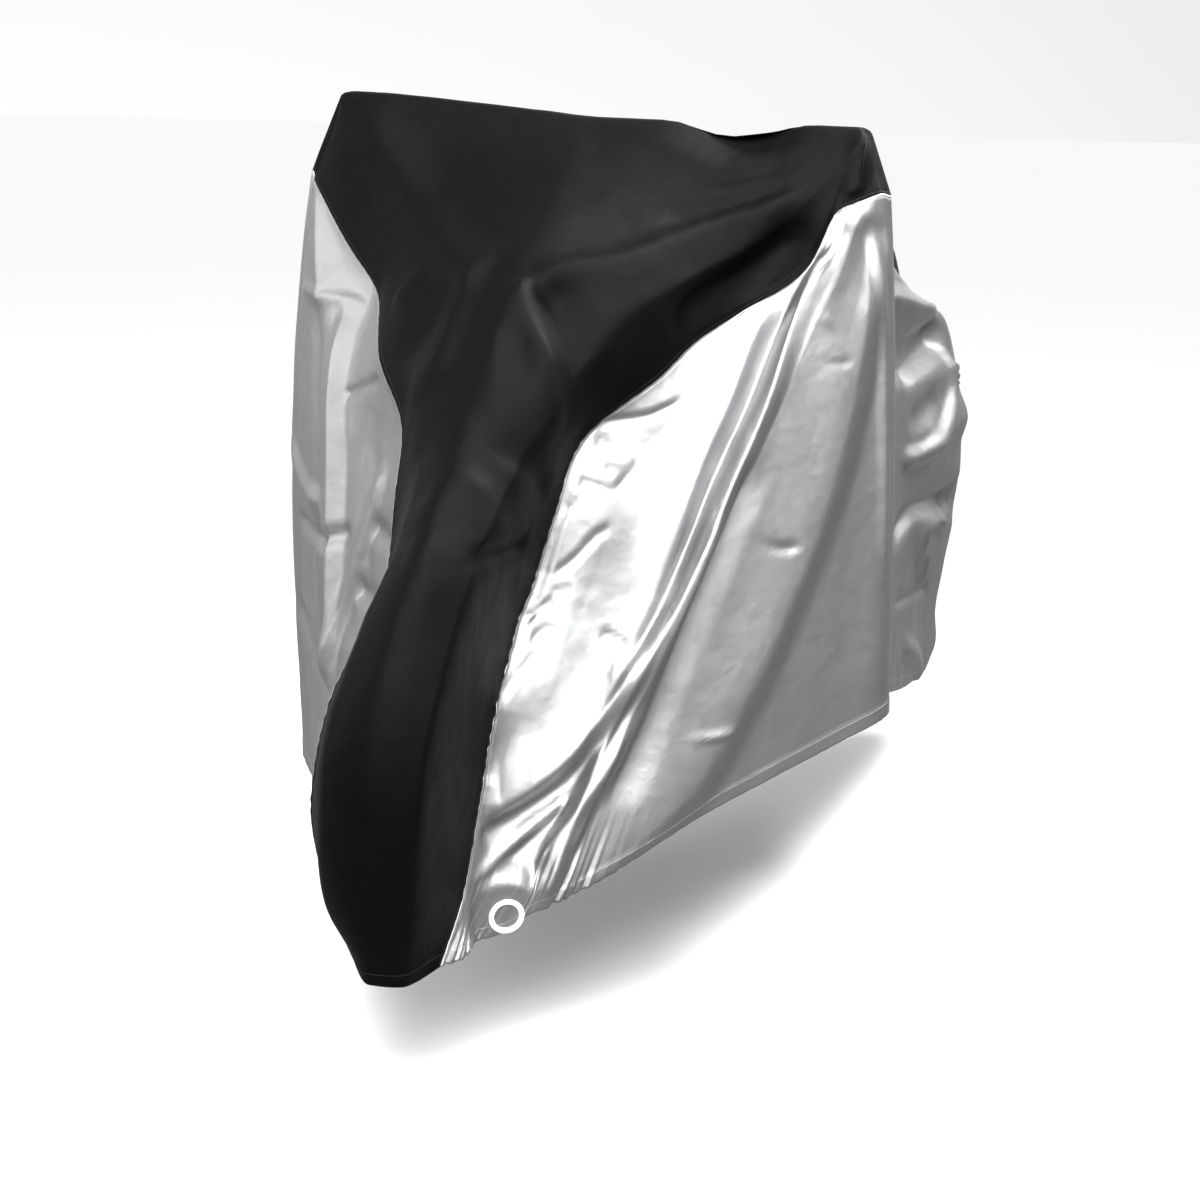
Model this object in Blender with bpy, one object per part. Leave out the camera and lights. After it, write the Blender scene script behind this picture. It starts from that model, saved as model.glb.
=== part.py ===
"""Bicycle cover, hanging as it does over a handlebar, a saddle and two wheels.

Metres. X is forward, Y is to the left, Z is up. The origin is in the middle of
the handlebar, just under the top. The front half is turned with the steering,
so its tables are written along and across the front wheel and are turned into
place; the rear half runs along the frame.

A black centre panel runs up over the front wheel, widens to the handlebar and
ends in a tongue behind the saddle. A silver panel hangs from it on each side,
and the two meet in a seam down the tail. Each is one sheet: a surface between
its edges, with the main folds pushed in or out, thickened to the cloth. The
gathered corner of each silver panel, with its eyelet, is a strip of its own.
"""

import math

import bmesh
import bpy
import numpy as np
from mathutils import Vector

# ------------------------------------------------------------------ sizes
CLOTH = 0.0020               # thickness of a sheet
HEM_CLOTH = 0.0032           # thickness where the hem is turned over
HEM_DEPTH = 0.020            # share of a silver panel's drop that its hem takes
SEAM_GAP = 0.0004            # parting between two sheets along a seam
MITRE_LIMIT = 0.6            # a seam's edges thicken by one over this at most
STEER = math.radians(18.8)   # front wheel and handlebar turned to the left
LEAN = 0.053                 # sideways lean for each metre of height
FRAME_SIDE = -0.016          # the frame's middle line, beside the handlebar's
BAR_TILT = 0.05              # rise of the bar for each metre to the right
BAR_CORNER = 0.75            # how much sharper the cloth turns down at the grips
GRIP = 10.6                  # section number where the front seam meets the grip
LEFT, RIGHT = 1, -1
HANDS = {LEFT: "left", RIGHT: "right"}

EYELET_OUTER = 0.0190        # radius of the ring's flanges
EYELET_BORE = 0.0135         # radius of the hole through the ring
EYELET_WALL = 0.0016         # wall of the ring's barrel
EYELET_FLANGE = 0.0011       # thickness of a flange
EYELET_EDGE = 0.0005         # rounding of the flanges' edges
EYELET_PLAY = 0.0003         # clearance from the ring to the cloth
EYELET_TURN = 28             # steps round the ring
EYELET_DIP = 0.006           # how far the hem dips under the ring
EYELET_DIP_WIDTH = 0.050     # along the panel, from the ring to the dip's end
EYELET_FLAT = 0.032          # the cloth is flat this far round the ring's middle
EYELET_BLEND = 0.058         # and takes its own shape again from here on
EYELET = {LEFT: (0.098, 0.966), RIGHT: (0.098, 0.966)}   # along, down
# The way each ring faces. The left one is pulled round towards the front.
EYELET_AXIS = {LEFT: (0.62, 0.78, -0.05), RIGHT: (0.61, -0.77, -0.17)}

STRIP_END = 0.20             # how far along the panel the gathered strip runs
STRIP_TOP = 0.93             # how far down the panel the strip starts
GATHERS = 7                  # gathers along the strip
GATHER_DEPTH = 0.0022        # and how far they stand out at the hem
GATHER_TOP = 0.88            # how far down the panel they start
GATHER_FADE = 0.04           # along the panel, over which they end

# Shares of a silver panel, along or down, over which its folds fade to its seams.
CALM_FRONT, CALM_TAIL, CALM_TOP = 0.025, 0.04, 0.04
CALM_EDGE = 0.10             # the same across the black panel
FRONT_REACH = 0.18           # how far along a silver panel its front seam shapes it
TAIL_REACH = 0.35            # and its tail seam, from the other end
CORNER_START, CORNER_RISE = 0.02, 0.36     # the hem sinks to the corner below the grip
CORNER_END, CORNER_FALL = 0.46, 0.30       # and rises again behind it
HEM_SECTIONS = 0.25          # the black panel's front hem, in sections

HEM_DROP = {LEFT: 0.0, RIGHT: 0.120}       # how much lower the corner hangs
HEM_RISE = {LEFT: 0.0, RIGHT: 0.040}       # how much higher the front seam ends
HEM_RISE_SECTIONS = 1.4                    # over this many sections
EDGE_BELLY = {LEFT: 0.006, RIGHT: 0.022}   # how far the edge below a grip bows out

# Steps of the grids: from, to, number of cells.
ALONG_STEPS = ((0.0, STRIP_END, 16), (STRIP_END, 0.46, 11), (0.46, 0.985, 13), (0.985, 1.0, 1))
DOWN_STEPS = ((0.0, STRIP_TOP, 22), (STRIP_TOP, 1.0, 4))
ACROSS_CELLS = 16

# ----------------------------------------------------------------- tables
# Sections across the black panel, from its front hem to its tongue.
# steer, lean: how much of the turn and of the lean the section takes;
# then the middle, the shoulder and the seam, with half widths.
#    steer lean  middle         shoulder              seam
#                fore    z      fore   half   z       fore   half   z
SECTIONS = {
    "hem":         (1.0, 1.0,  0.572, -0.814,  0.562, 0.032, -0.816,  0.515, 0.052, -0.812),
    "low nose":    (1.0, 1.0,  0.600, -0.745,  0.584, 0.042, -0.742,  0.520, 0.073, -0.735),
    "hub":         (1.0, 1.0,  0.612, -0.655,  0.596, 0.046, -0.650,  0.530, 0.086, -0.650),
    "high nose":   (1.0, 1.0,  0.602, -0.555,  0.582, 0.048, -0.555,  0.498, 0.086, -0.558),
    "tyre front":  (1.0, 1.0,  0.545, -0.440,  0.520, 0.050, -0.450,  0.435, 0.079, -0.500),
    "tyre top":    (1.0, 1.0,  0.470, -0.365,  0.448, 0.052, -0.378,  0.378, 0.079, -0.450),
    "waist":       (1.0, 1.0,  0.395, -0.305,  0.378, 0.055, -0.325,  0.342, 0.084, -0.375),
    "low face":    (1.0, 1.0,  0.318, -0.225,  0.300, 0.085, -0.250,  0.300, 0.100, -0.305),
    "knee":        (1.0, 0.6,  0.225, -0.135,  0.215, 0.120, -0.180,  0.235, 0.153, -0.247),
    "face":        (1.0, 0.3,  0.115, -0.065,  0.090, 0.220, -0.105,  0.135, 0.215, -0.185),
    "bar front":   (1.0, 0.0,  0.030, -0.004,  0.022, 0.300, -0.006,  0.065, 0.300, -0.100),
    "bar top":     (1.0, 0.0,  0.000,  0.010,  0.000, 0.303,  0.018,  0.030, 0.333, -0.068),
    "bar back":    (1.0, 0.0, -0.030,  0.002, -0.024, 0.308,  0.006, -0.006, 0.338, -0.060),
    "neck":        (0.5, 0.0, -0.180, -0.030, -0.190, 0.225, -0.035, -0.185, 0.250, -0.085),
    "back":        (0.1, 0.3, -0.340, -0.070, -0.350, 0.150, -0.075, -0.350, 0.172, -0.125),
    "saddle nose": (0.0, 1.0, -0.460, -0.100, -0.460, 0.095, -0.112, -0.460, 0.115, -0.155),
    "saddle":      (0.0, 1.0, -0.570, -0.110, -0.570, 0.080, -0.125, -0.570, 0.098, -0.170),
    "saddle back": (0.0, 1.0, -0.665, -0.150, -0.665, 0.062, -0.163, -0.665, 0.074, -0.200),
    "tongue":      (0.0, 1.0, -0.755, -0.215, -0.755, 0.032, -0.219, -0.755, 0.042, -0.232),
    "tongue end":  (0.0, 1.0, -0.835, -0.242, -0.835, 0.004, -0.242, -0.835, 0.006, -0.243),
}

# Where folds pull the two seams away from one shape for both: section, then
# backwards, outwards and up for the left seam, outwards and up for the right
# one, and outwards for the right shoulder. The left seam is tucked in behind
# the wheel.
#          left                    right           right
# section  back    out     up      out     up      shoulder
SEAM_PULL = (
    ( 0.0,  0.000,  0.000,  0.000,  0.000,  0.000, -0.012),
    ( 1.0,  0.065, -0.022, -0.028,  0.000,  0.000, -0.002),
    ( 2.0,  0.111, -0.037, -0.043,  0.000,  0.000,  0.000),
    ( 3.0,  0.122, -0.040, -0.040,  0.000,  0.000,  0.000),
    ( 4.0,  0.110, -0.035, -0.032,  0.000,  0.000, -0.012),
    ( 4.5,  0.096, -0.033, -0.026, -0.005, -0.002, -0.018),
    ( 5.0,  0.085, -0.027, -0.022, -0.001,  0.000, -0.018),
    ( 6.0,  0.075, -0.019, -0.017,  0.003,  0.001, -0.008),
    ( 7.0,  0.066, -0.019, -0.012,  0.000,  0.000,  0.000),
    ( 8.0,  0.054, -0.014, -0.008,  0.006, -0.002,  0.000),
    ( 8.5,  0.046, -0.016, -0.001,  0.002,  0.000,  0.000),
    ( 9.0,  0.035, -0.009, -0.002, -0.006,  0.002,  0.000),
    ( 9.5,  0.022,  0.003, -0.005,  0.000,  0.000,  0.000),
    (10.0,  0.008, -0.012,  0.014,  0.000,  0.000,  0.000),
    (10.5,  0.000, -0.015,  0.006,  0.000,  0.000,  0.000),
    (11.0,  0.000, -0.001,  0.006,  0.000,  0.000,  0.000),
    (11.5,  0.000, -0.004, -0.003, -0.005,  0.001,  0.000),
    (12.0,  0.000, -0.002, -0.005,  0.000,  0.000,  0.000),
    (13.0,  0.000,  0.000,  0.000,  0.000,  0.000,  0.000),
    (19.0,  0.000,  0.000,  0.000,  0.000,  0.000,  0.000),
)

# The lower hem of a silver panel, from the front seam to the tail.
#    steer lean  fore   half    z
HEM = {
    "front seam": (1.0, 1.0,  0.515, 0.0520, -0.812),
    "gathers":    (1.0, 1.0,  0.465, 0.0670, -0.817),
    "eyelet":     (1.0, 1.0,  0.415, 0.0860, -0.808),
    "gather end": (1.0, 0.9,  0.368, 0.1180, -0.785),
    "front":      (1.0, 0.4,  0.220, 0.2150, -0.730),
    "near grip":  (1.0, 0.1,  0.080, 0.3130, -0.684),
    "corner":     (1.0, 0.0,  0.003, 0.3660, -0.660),
    "behind":     (0.9, 0.0, -0.085, 0.3450, -0.672),
    "pedals":     (0.4, 0.1, -0.300, 0.2500, -0.715),
    "rear wheel": (0.0, 0.5, -0.560, 0.1600, -0.775),
    "rear hub":   (0.0, 1.0, -0.840, 0.0850, -0.838),
    "tail":       (0.0, 1.0, -0.975, 0.0400, -0.858),
    "tail end":   (0.0, 1.0, -1.020, 0.0000, -0.865),
}

# The seam down the tail, from the tongue to the hem.
#    fore    z
TAIL = {
    "tongue end":  (-0.8365, -0.2435),
    "rack":        (-0.9150, -0.2700),
    "rack end":    (-0.9850, -0.3020),
    "fall":        (-1.0450, -0.3850),
    "wheel top":   (-1.0850, -0.4800),
    "wheel":       (-1.0950, -0.5800),
    "dent":        (-1.0650, -0.6900),
    "low":         (-1.0450, -0.7650),
    "flare":       (-1.0550, -0.8250),
    "hem":         (-1.0200, -0.8650),
}

# Fan lines of a silver panel: where each leaves the seam and meets the hem.
#    along   section  hem row
FAN = {
    "front seam": (0.000, 10.60,  0.0),
    "eyelet":     (0.070, 10.68,  1.3),
    "ridge":      (0.160, 10.80,  2.8),
    "front":      (0.250, 10.95,  3.7),
    "near edge":  (0.340, 11.15,  4.8),
    "edge":       (0.430, 11.50,  6.0),
    "behind":     (0.500, 12.10,  7.0),
    "pedals":     (0.620, 13.20,  8.0),
    "rear wheel": (0.740, 14.70,  9.0),
    "rear hub":   (0.860, 16.70, 10.0),
    "tongue end": (0.985, 19.00, 11.9),
    "tail":       (1.000, 19.00, 12.0),
}

# Folds: height (out is plus), widths on the two sides, crispness of the crest,
# the lengths over which it rises at its two ends, and its path. A silver
# panel's path is (along, down), the black one's is (section, across). For a
# path that runs down, the first width lies towards the front seam on a silver
# panel and towards the right seam on the black one.
#    height  first  second crisp start  end    path
LEFT_FOLDS = {
    "pillow":     (0.014, 0.080, 0.070, 0.0, 0.12, 0.10,
                   ((0.042, 0.37), (0.056, 0.50), (0.058, 0.64), (0.056, 0.76))),
    "pillow side": (0.006, 0.050, 0.014, 0.3, 0.05, 0.10,
                    ((0.062, 0.15), (0.100, 0.28), (0.124, 0.44), (0.129, 0.58))),
    "trough":     (-0.011, 0.018, 0.012, 0.3, 0.05, 0.08,
                   ((0.073, 0.13), (0.109, 0.22), (0.127, 0.31), (0.138, 0.44), (0.142, 0.59))),
    "ridge":      (0.013, 0.018, 0.016, 0.5, 0.04, 0.00,
                   ((0.080, 0.06), (0.120, 0.15), (0.150, 0.28), (0.160, 0.44), (0.162, 0.58),
                    (0.153, 0.70), (0.149, 0.82), (0.155, 1.00))),
    "pillow edge": (0.014, 0.060, 0.018, 0.5, 0.05, 0.02,
                    ((0.149, 0.63), (0.138, 0.71), (0.115, 0.765), (0.069, 0.81), (0.010, 0.835))),
    "under pillow": (-0.009, 0.020, 0.022, 0.0, 0.05, 0.02,
                     ((0.165, 0.69), (0.138, 0.79), (0.080, 0.835), (0.010, 0.865))),
    "rope":       (0.006, 0.010, 0.012, 0.4, 0.05, 0.03,
                   ((0.167, 0.44), (0.171, 0.58), (0.169, 0.72), (0.167, 0.83), (0.162, 0.93))),
    "flat valley": (-0.007, 0.015, 0.035, 0.0, 0.06, 0.05,
                    ((0.175, 0.36), (0.187, 0.53), (0.193, 0.65), (0.198, 0.80), (0.190, 0.90))),
    "soft ridge": (0.015, 0.090, 0.045, 0.2, 0.10, 0.00,
                   ((0.300, 0.05), (0.314, 0.27), (0.310, 0.49), (0.295, 0.66), (0.279, 0.81),
                    (0.262, 0.92), (0.235, 0.97), (0.200, 1.00))),
    "high pinch": (-0.004, 0.010, 0.012, 0.5, 0.02, 0.01,
                   ((0.191, 0.234), (0.255, 0.259), (0.310, 0.284))),
    "mid pinch":  (-0.006, 0.012, 0.012, 0.5, 0.02, 0.01,
                   ((0.228, 0.524), (0.259, 0.549), (0.295, 0.586))),
    "low pinch":  (0.006, 0.010, 0.012, 0.5, 0.02, 0.01,
                   ((0.240, 0.825), (0.259, 0.845), (0.282, 0.865))),
    "first fan":  (0.006, 0.012, 0.012, 0.3, 0.03, 0.03,
                   ((0.140, 0.826), (0.098, 0.845), (0.060, 0.875), (0.012, 0.907))),
    "second fan": (0.006, 0.012, 0.012, 0.3, 0.03, 0.03,
                   ((0.169, 0.764), (0.160, 0.82), (0.136, 0.89), (0.105, 0.92))),
    "fan valley": (-0.005, 0.012, 0.012, 0.1, 0.03, 0.03,
                   ((0.146, 0.783), (0.135, 0.845), (0.092, 0.875), (0.050, 0.907))),
}
RIGHT_FOLDS = {
    "ridge":     (0.010, 0.030, 0.030, 0.3, 0.10, 0.00,
                  ((0.08, 0.14), (0.13, 0.34), (0.15, 0.60), (0.17, 0.85), (0.19, 1.00))),
    "trough":    (-0.008, 0.030, 0.040, 0.1, 0.10, 0.10,
                  ((0.16, 0.12), (0.21, 0.35), (0.23, 0.60), (0.24, 0.85))),
    "cross":     (0.007, 0.020, 0.030, 0.4, 0.05, 0.05,
                  ((0.43, 0.44), (0.30, 0.47), (0.16, 0.46))),
    "low cross": (-0.006, 0.030, 0.030, 0.1, 0.05, 0.06,
                  ((0.42, 0.70), (0.28, 0.74), (0.12, 0.70))),
}
REAR_FOLDS = {
    "rack edge": (0.012, 0.030, 0.030, 0.4, 0.03, 0.06,
                  ((0.97, 0.10), (0.93, 0.14), (0.86, 0.16), (0.78, 0.12))),
    "under rack": (-0.022, 0.050, 0.060, 0.0, 0.05, 0.10,
                   ((0.96, 0.22), (0.90, 0.24), (0.82, 0.26), (0.72, 0.30))),
    "wheel side": (0.015, 0.060, 0.060, 0.1, 0.08, 0.10,
                   ((0.97, 0.42), (0.90, 0.44), (0.80, 0.50))),
    "wheel dent": (-0.012, 0.045, 0.045, 0.1, 0.05, 0.10,
                   ((0.98, 0.60), (0.92, 0.62), (0.84, 0.66))),
    "rear hang":  (0.016, 0.050, 0.050, 0.1, 0.12, 0.00,
                   ((0.66, 0.10), (0.68, 0.40), (0.70, 0.70), (0.71, 1.00))),
    "frame dent": (-0.018, 0.070, 0.070, 0.0, 0.12, 0.00,
                   ((0.57, 0.10), (0.58, 0.40), (0.585, 0.70), (0.59, 1.00))),
}
BLACK_FOLDS = {
    "stem left":   (0.007, 0.040, 0.030, 0.5, 0.05, 0.10,
                    ((7.85, -0.04), (7.34, 0.00), (7.02, 0.03), (6.53, 0.18), (6.20, 0.45))),
    "stem right":  (0.008, 0.030, 0.022, 0.6, 0.02, 0.08,
                    ((7.85, 0.00), (7.45, 0.10), (7.15, 0.25), (6.88, 0.35), (6.60, 0.55))),
    "stem valley": (-0.015, 0.030, 0.055, 0.1, 0.03, 0.08,
                    ((7.92, 0.12), (7.60, 0.22), (7.30, 0.37), (7.00, 0.55), (6.70, 0.80))),
    "left crease": (0.010, 0.050, 0.025, 0.5, 0.03, 0.06,
                    ((7.90, 0.02), (8.00, 0.15), (8.34, 0.27), (8.90, 0.33), (9.28, 0.41),
                     (9.63, 0.44))),
    "grip wrinkle": (-0.006, 0.018, 0.014, 0.3, 0.05, 0.05,
                     ((8.80, 0.25), (9.20, 0.32), (9.59, 0.42))),
    "bar wrinkle": (-0.007, 0.018, 0.016, 0.2, 0.05, 0.05,
                    ((9.30, 0.22), (9.60, 0.32), (9.95, 0.37))),
    "right crease": (0.012, 0.050, 0.050, 0.3, 0.03, 0.08,
                     ((7.95, -0.15), (8.20, -0.30), (8.86, -0.35), (9.60, -0.39), (10.40, -0.44))),
    "left pocket": (-0.016, 0.035, 0.032, 0.1, 0.04, 0.05,
                    ((8.20, 0.80), (8.58, 0.735), (8.99, 0.75), (9.28, 0.70), (9.47, 0.66))),
    "facet side":  (0.008, 0.040, 0.030, 0.5, 0.03, 0.05,
                    ((8.05, -0.22), (7.57, -0.27), (7.02, -0.30), (6.67, -0.53))),
    "facet":       (-0.010, 0.040, 0.040, 0.0, 0.05, 0.06,
                    ((8.15, -0.35), (7.75, -0.55), (7.34, -0.75))),
    "facet top":   (0.007, 0.025, 0.030, 0.5, 0.03, 0.03,
                    ((8.22, -0.36), (8.22, -0.60), (8.30, -0.84))),
    "tyre wedge":  (-0.004, 0.022, 0.030, 0.2, 0.05, 0.04,
                    ((6.16, 0.03), (6.09, 0.37), (6.09, 0.88))),
    "tyre top":    (0.004, 0.030, 0.025, 0.3, 0.05, 0.05,
                    ((5.74, -0.22), (5.55, 0.27), (5.32, 0.55))),
    "tyre dent":   (-0.008, 0.015, 0.020, 0.3, 0.03, 0.03,
                    ((4.50, 0.42), (4.86, 0.66), (5.39, 0.86))),
    "tyre side":   (0.006, 0.030, 0.050, 0.5, 0.03, 0.05,
                    ((4.95, 0.05), (4.50, 0.13), (4.14, 0.25), (3.89, 0.37))),
    "bar dip":     (-0.018, 0.080, 0.060, 0.0, 0.03, 0.05,
                    ((12.30, 0.24), (11.00, 0.25), (10.30, 0.28), (9.70, 0.34))),
    "grip crease": (0.007, 0.022, 0.016, 0.5, 0.04, 0.01,
                    ((11.00, 0.50), (10.75, 0.70), (10.45, 0.97))),
    "saddle dip":  (-0.014, 0.060, 0.060, 0.0, 0.10, 0.10,
                    ((12.7, 0.00), (13.6, 0.00), (14.4, 0.00))),
}
SILVER_FOLDS = {LEFT: (LEFT_FOLDS, REAR_FOLDS), RIGHT: (RIGHT_FOLDS, REAR_FOLDS)}
PATH_POINTS = 40             # points along a fold's path

# Finish of each material: colour, roughness, metallic.
FINISH = {
    "black polyester":  ((0.012, 0.012, 0.013), 0.55, 0.0),
    "silver polyester": ((0.560, 0.565, 0.570), 0.38, 0.35),
    "white plastic":    ((0.850, 0.850, 0.840), 0.35, 0.0),
}


# --------------------------------------------------------------- surfaces
def smooth(x):
    """0 below 0, 1 above 1, and an even rise between."""
    x = np.clip(x, 0.0, 1.0)
    return x * x * (3 - 2 * x)


def lengths(vectors):
    """Length of each vector, as a column."""
    return np.linalg.norm(vectors, axis=-1, keepdims=True)


def unit(vectors):
    """The vectors at length 1."""
    return vectors / np.maximum(lengths(vectors), 1e-12)


def spline(rows, x):
    """A smooth curve through the rows, read at the row numbers x."""
    rows = np.asarray(rows, float)
    x = np.clip(np.asarray(x, float), 0, rows.shape[-2] - 1)
    first = np.minimum(x.astype(int), rows.shape[-2] - 2)

    def row(number):
        number = np.clip(number, 0, rows.shape[-2] - 1)
        if rows.ndim == 2:
            return rows[number]
        return np.take_along_axis(rows, number[..., None, None], axis=-2)[..., 0, :]

    p1, p2 = row(first), row(first + 1)
    p0 = np.where((first > 0)[..., None], row(first - 1), 2 * p1 - p2)
    p3 = np.where((first + 2 < rows.shape[-2])[..., None], row(first + 2), 2 * p2 - p1)
    f = (x - first)[..., None]
    bend = (2 * p0 - 5 * p1 + 4 * p2 - p3) * f + (3 * p1 - p0 - 3 * p2 + p3) * f * f
    return p1 + 0.5 * f * (p2 - p0 + bend)


def rounded(outline, x, corner):
    """A smooth curve through unevenly spaced points; corner, up to 1, sharpens its turns."""
    steps = np.diff(outline, axis=-2)
    gaps = np.maximum(lengths(steps), 1e-9)
    slopes = steps / gaps
    near, far = gaps[..., :-1, :], gaps[..., 1:, :]
    middle = (slopes[..., :-1, :] * far + slopes[..., 1:, :] * near) / (near + far)
    slopes = np.concatenate([slopes[..., :1, :], middle, slopes[..., -1:, :]], axis=-2)
    first = np.clip(x.astype(int), 0, outline.shape[-2] - 2)
    f = (x - first)[..., None]

    def pick(values, number):
        return np.take_along_axis(values, number[..., None, None], axis=-2)[..., 0, :]

    shortest = np.minimum(near, far) * (1 - corner)[..., None, None]
    reach = np.concatenate([gaps[..., :1, :], shortest, gaps[..., -1:, :]], axis=-2)
    start, end = pick(outline, first), pick(outline, first + 1)
    leave, arrive = pick(slopes * reach, first), pick(slopes * reach, first + 1)
    return (start * (1 + 2 * f) * (1 - f) ** 2 + leave * f * (1 - f) ** 2
            + end * f * f * (3 - 2 * f) - arrive * f * f * (1 - f))


def place(fore, side, z, steer, lean):
    """Turn a point of the tables into its place under the steering and the lean."""
    side = side + LEAN * z * lean + FRAME_SIDE * (1 - steer)
    turn = STEER * steer
    return np.stack([fore * np.cos(turn) - side * np.sin(turn),
                     fore * np.sin(turn) + side * np.cos(turn),
                     z + 0.0 * side], axis=-1)


def columns(table, at):
    """The columns of a table, read between its rows."""
    return np.moveaxis(spline(list(table.values()), at), -1, 0)


def pulls(section):
    """How far the seams are pulled out and up at a section."""
    table = np.array(SEAM_PULL)
    at = np.interp(section, table[:, 0], np.arange(len(table)))
    return np.moveaxis(spline(table[:, 1:], at), -1, 0)


def black_point(section, across):
    """A point of the black panel; across runs from -1, the right seam, to 1."""
    section, across = np.broadcast_arrays(np.asarray(section, float), across)
    steer, lean, mid_x, mid_z, x, half, z, seam_x, seam_half, seam_z = columns(SECTIONS, section)
    left_back, left_out, left_up, right_out, right_up, right_shoulder = pulls(section)
    on_bar = np.clip((section - 7) / 3, 0, 1) * np.clip((14 - section) / 2, 0, 1)
    outline = np.stack([np.stack([seam_x, -seam_half - right_out, seam_z + right_up], -1),
                        np.stack([x, -half - right_shoulder, z], -1),
                        np.stack([mid_x, 0 * mid_x, mid_z], -1),
                        np.stack([x, half, z], -1),
                        np.stack([seam_x - left_back, seam_half + left_out, seam_z + left_up],
                                 -1)], axis=-2)
    fore, side, up = np.moveaxis(rounded(outline, 2 * (across + 1), BAR_CORNER * on_bar), -1, 0)
    up = up - BAR_TILT * side * on_bar * (1 - np.minimum(1, across * across))
    up = up + HEM_RISE[RIGHT] * smooth(-across) * (1 - smooth(section / HEM_RISE_SECTIONS))
    return place(fore, side, up, steer, lean)


def seam_point(section, hand):
    """A point of the seam between the black panel and a silver one."""
    return black_point(section, float(hand))


def hem_point(row, hand):
    """A point of a silver panel's lower hem."""
    steer, lean, fore, half, z = columns(HEM, row)
    return place(fore, hand * half, z, steer, lean)


def tail_point(row):
    """A point of the seam down the tail."""
    fore, z = columns(TAIL, row)
    return place(fore, 0 * fore, z, 0.0, 1.0)


def even_rows(curve, first, last, share):
    """Row numbers that lie at the given shares of a curve's length."""
    rows = np.linspace(first, last, 401)
    steps = lengths(np.diff(curve(rows), axis=0))[:, 0]
    travelled = np.concatenate([[0.0], np.cumsum(steps)])
    return np.interp(share, travelled / travelled[-1], rows)


def front_rows(down):
    """Section numbers down the front seam, from the grip to the hem."""
    return even_rows(lambda rows: seam_point(rows, LEFT), GRIP, 0.0, down)


def tail_rows(down):
    """Row numbers down the tail, from the tongue to the hem."""
    return even_rows(tail_point, 0.0, len(TAIL) - 1.0, down)


def fan(along):
    """Section number at the seam and row number at the hem of a fan line."""
    table = np.array(list(FAN.values()))
    at = np.interp(along, table[:, 0], np.arange(len(table)))
    return np.moveaxis(spline(table[:, 1:], at), -1, 0)


def silver_point(along, down, hand):
    """A point of a silver panel, before its folds.

    along runs from the front seam, 0, to the tail, 1; down from the black
    panel or the grip, 0, to the hem, 1.
    """
    along, down = np.broadcast_arrays(np.asarray(along, float), down)
    section, row = fan(along)
    tail_top = tail_point(0.0 * along)
    top = np.where((along >= 1)[..., None], tail_top, seam_point(section, hand))
    low = hem_point(row, hand)
    corner = smooth((along - CORNER_START) / CORNER_RISE)
    corner = corner * (1 - smooth((along - CORNER_END) / CORNER_FALL))
    dip = 1 - smooth(abs(along - EYELET[hand][0]) / EYELET_DIP_WIDTH)
    low[..., 2] -= HEM_DROP[hand] * corner + EYELET_DIP * dip
    low[..., 2] += HEM_RISE[hand] * (1 - smooth(row / HEM_RISE_SECTIONS))
    share = down[..., None]
    point = top * (1 - share) + low * share

    steer = np.where(along < 0.5, 1.0, 0.6)
    outward = place(0.0, 1.0, 0.0, steer, 0.0) - place(0.0, 0.0, 0.0, steer, 0.0)
    bow = hand * EDGE_BELLY[hand] * corner * np.sin(math.pi * down ** 0.8)
    point = point + outward * bow[..., None]

    front = seam_point(front_rows(down), hand)
    front_chord = seam_point(GRIP, hand) * (1 - share) + seam_point(0.0, hand) * share
    rear = tail_point(tail_rows(down))
    rear_chord = tail_point(0.0) * (1 - share) + hem_point(len(HEM) - 1.0, hand) * share
    near_front = (1 - smooth(along / FRONT_REACH))[..., None]
    near_rear = (1 - smooth((1 - along) / TAIL_REACH))[..., None]
    return point + near_front * (front - front_chord) + near_rear * (rear - rear_chord)


# ------------------------------------------------------------------ folds
def grid_normals(points, hand):
    """Outward normals of a grid of points."""
    along, down = np.gradient(points, axis=0), np.gradient(points, axis=1)
    return unit(np.cross(along, down)) * -hand


def fold_height(points, normals, crest, fold):
    """How far one fold pushes each point out, from the distance to its crest."""
    height, first, second, crisp, start, end = fold[:6]
    nearest = np.full(points.shape[:-1], np.inf)
    offset = np.zeros(points.shape[:-1])
    travel = np.zeros(points.shape[:-1])
    steps = lengths(np.diff(crest, axis=0))[:, 0]
    before = np.concatenate([[0.0], np.cumsum(steps)])
    for number, step in enumerate(steps):
        line = (crest[number + 1] - crest[number]) / step
        reach = points - crest[number]
        run = np.clip(reach @ line, 0.0, step)
        apart = reach - run[..., None] * line
        distance = lengths(apart)[..., 0]
        side = np.sign(np.sum(np.cross(line, reach) * normals, axis=-1))
        closer = distance < nearest
        nearest = np.where(closer, distance, nearest)
        offset = np.where(closer, side * distance, offset)
        travel = np.where(closer, before[number] + run, travel)
    width = np.where(offset > 0, second, first)
    x = np.clip(nearest / width, 0.0, 1.0)
    profile = (1 - x) ** 2 * (1 + 2 * x * (1 - crisp))
    rise = smooth(travel / start) if start else 1.0
    fall = smooth((before[-1] - travel) / end) if end else 1.0
    return height * profile * rise * fall


def folded(points, normals, tables, crest_point):
    """Total height of all the folds of some tables over a grid of points."""
    total = np.zeros(points.shape[:-1])
    for table in tables:
        for fold in table.values():
            path = np.array(fold[6])
            steps = np.linspace(0, len(path) - 1, PATH_POINTS)
            first, second = np.moveaxis(spline(path, steps), -1, 0)
            total += fold_height(points, normals, crest_point(first, second), fold)
    return total


def steps(parts):
    """The lines of a grid, from its (from, to, cells) rows."""
    lines = [np.linspace(first, last, cells + 1)[:-1] for first, last, cells in parts]
    return np.concatenate(lines + [[parts[-1][1]]])


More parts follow.
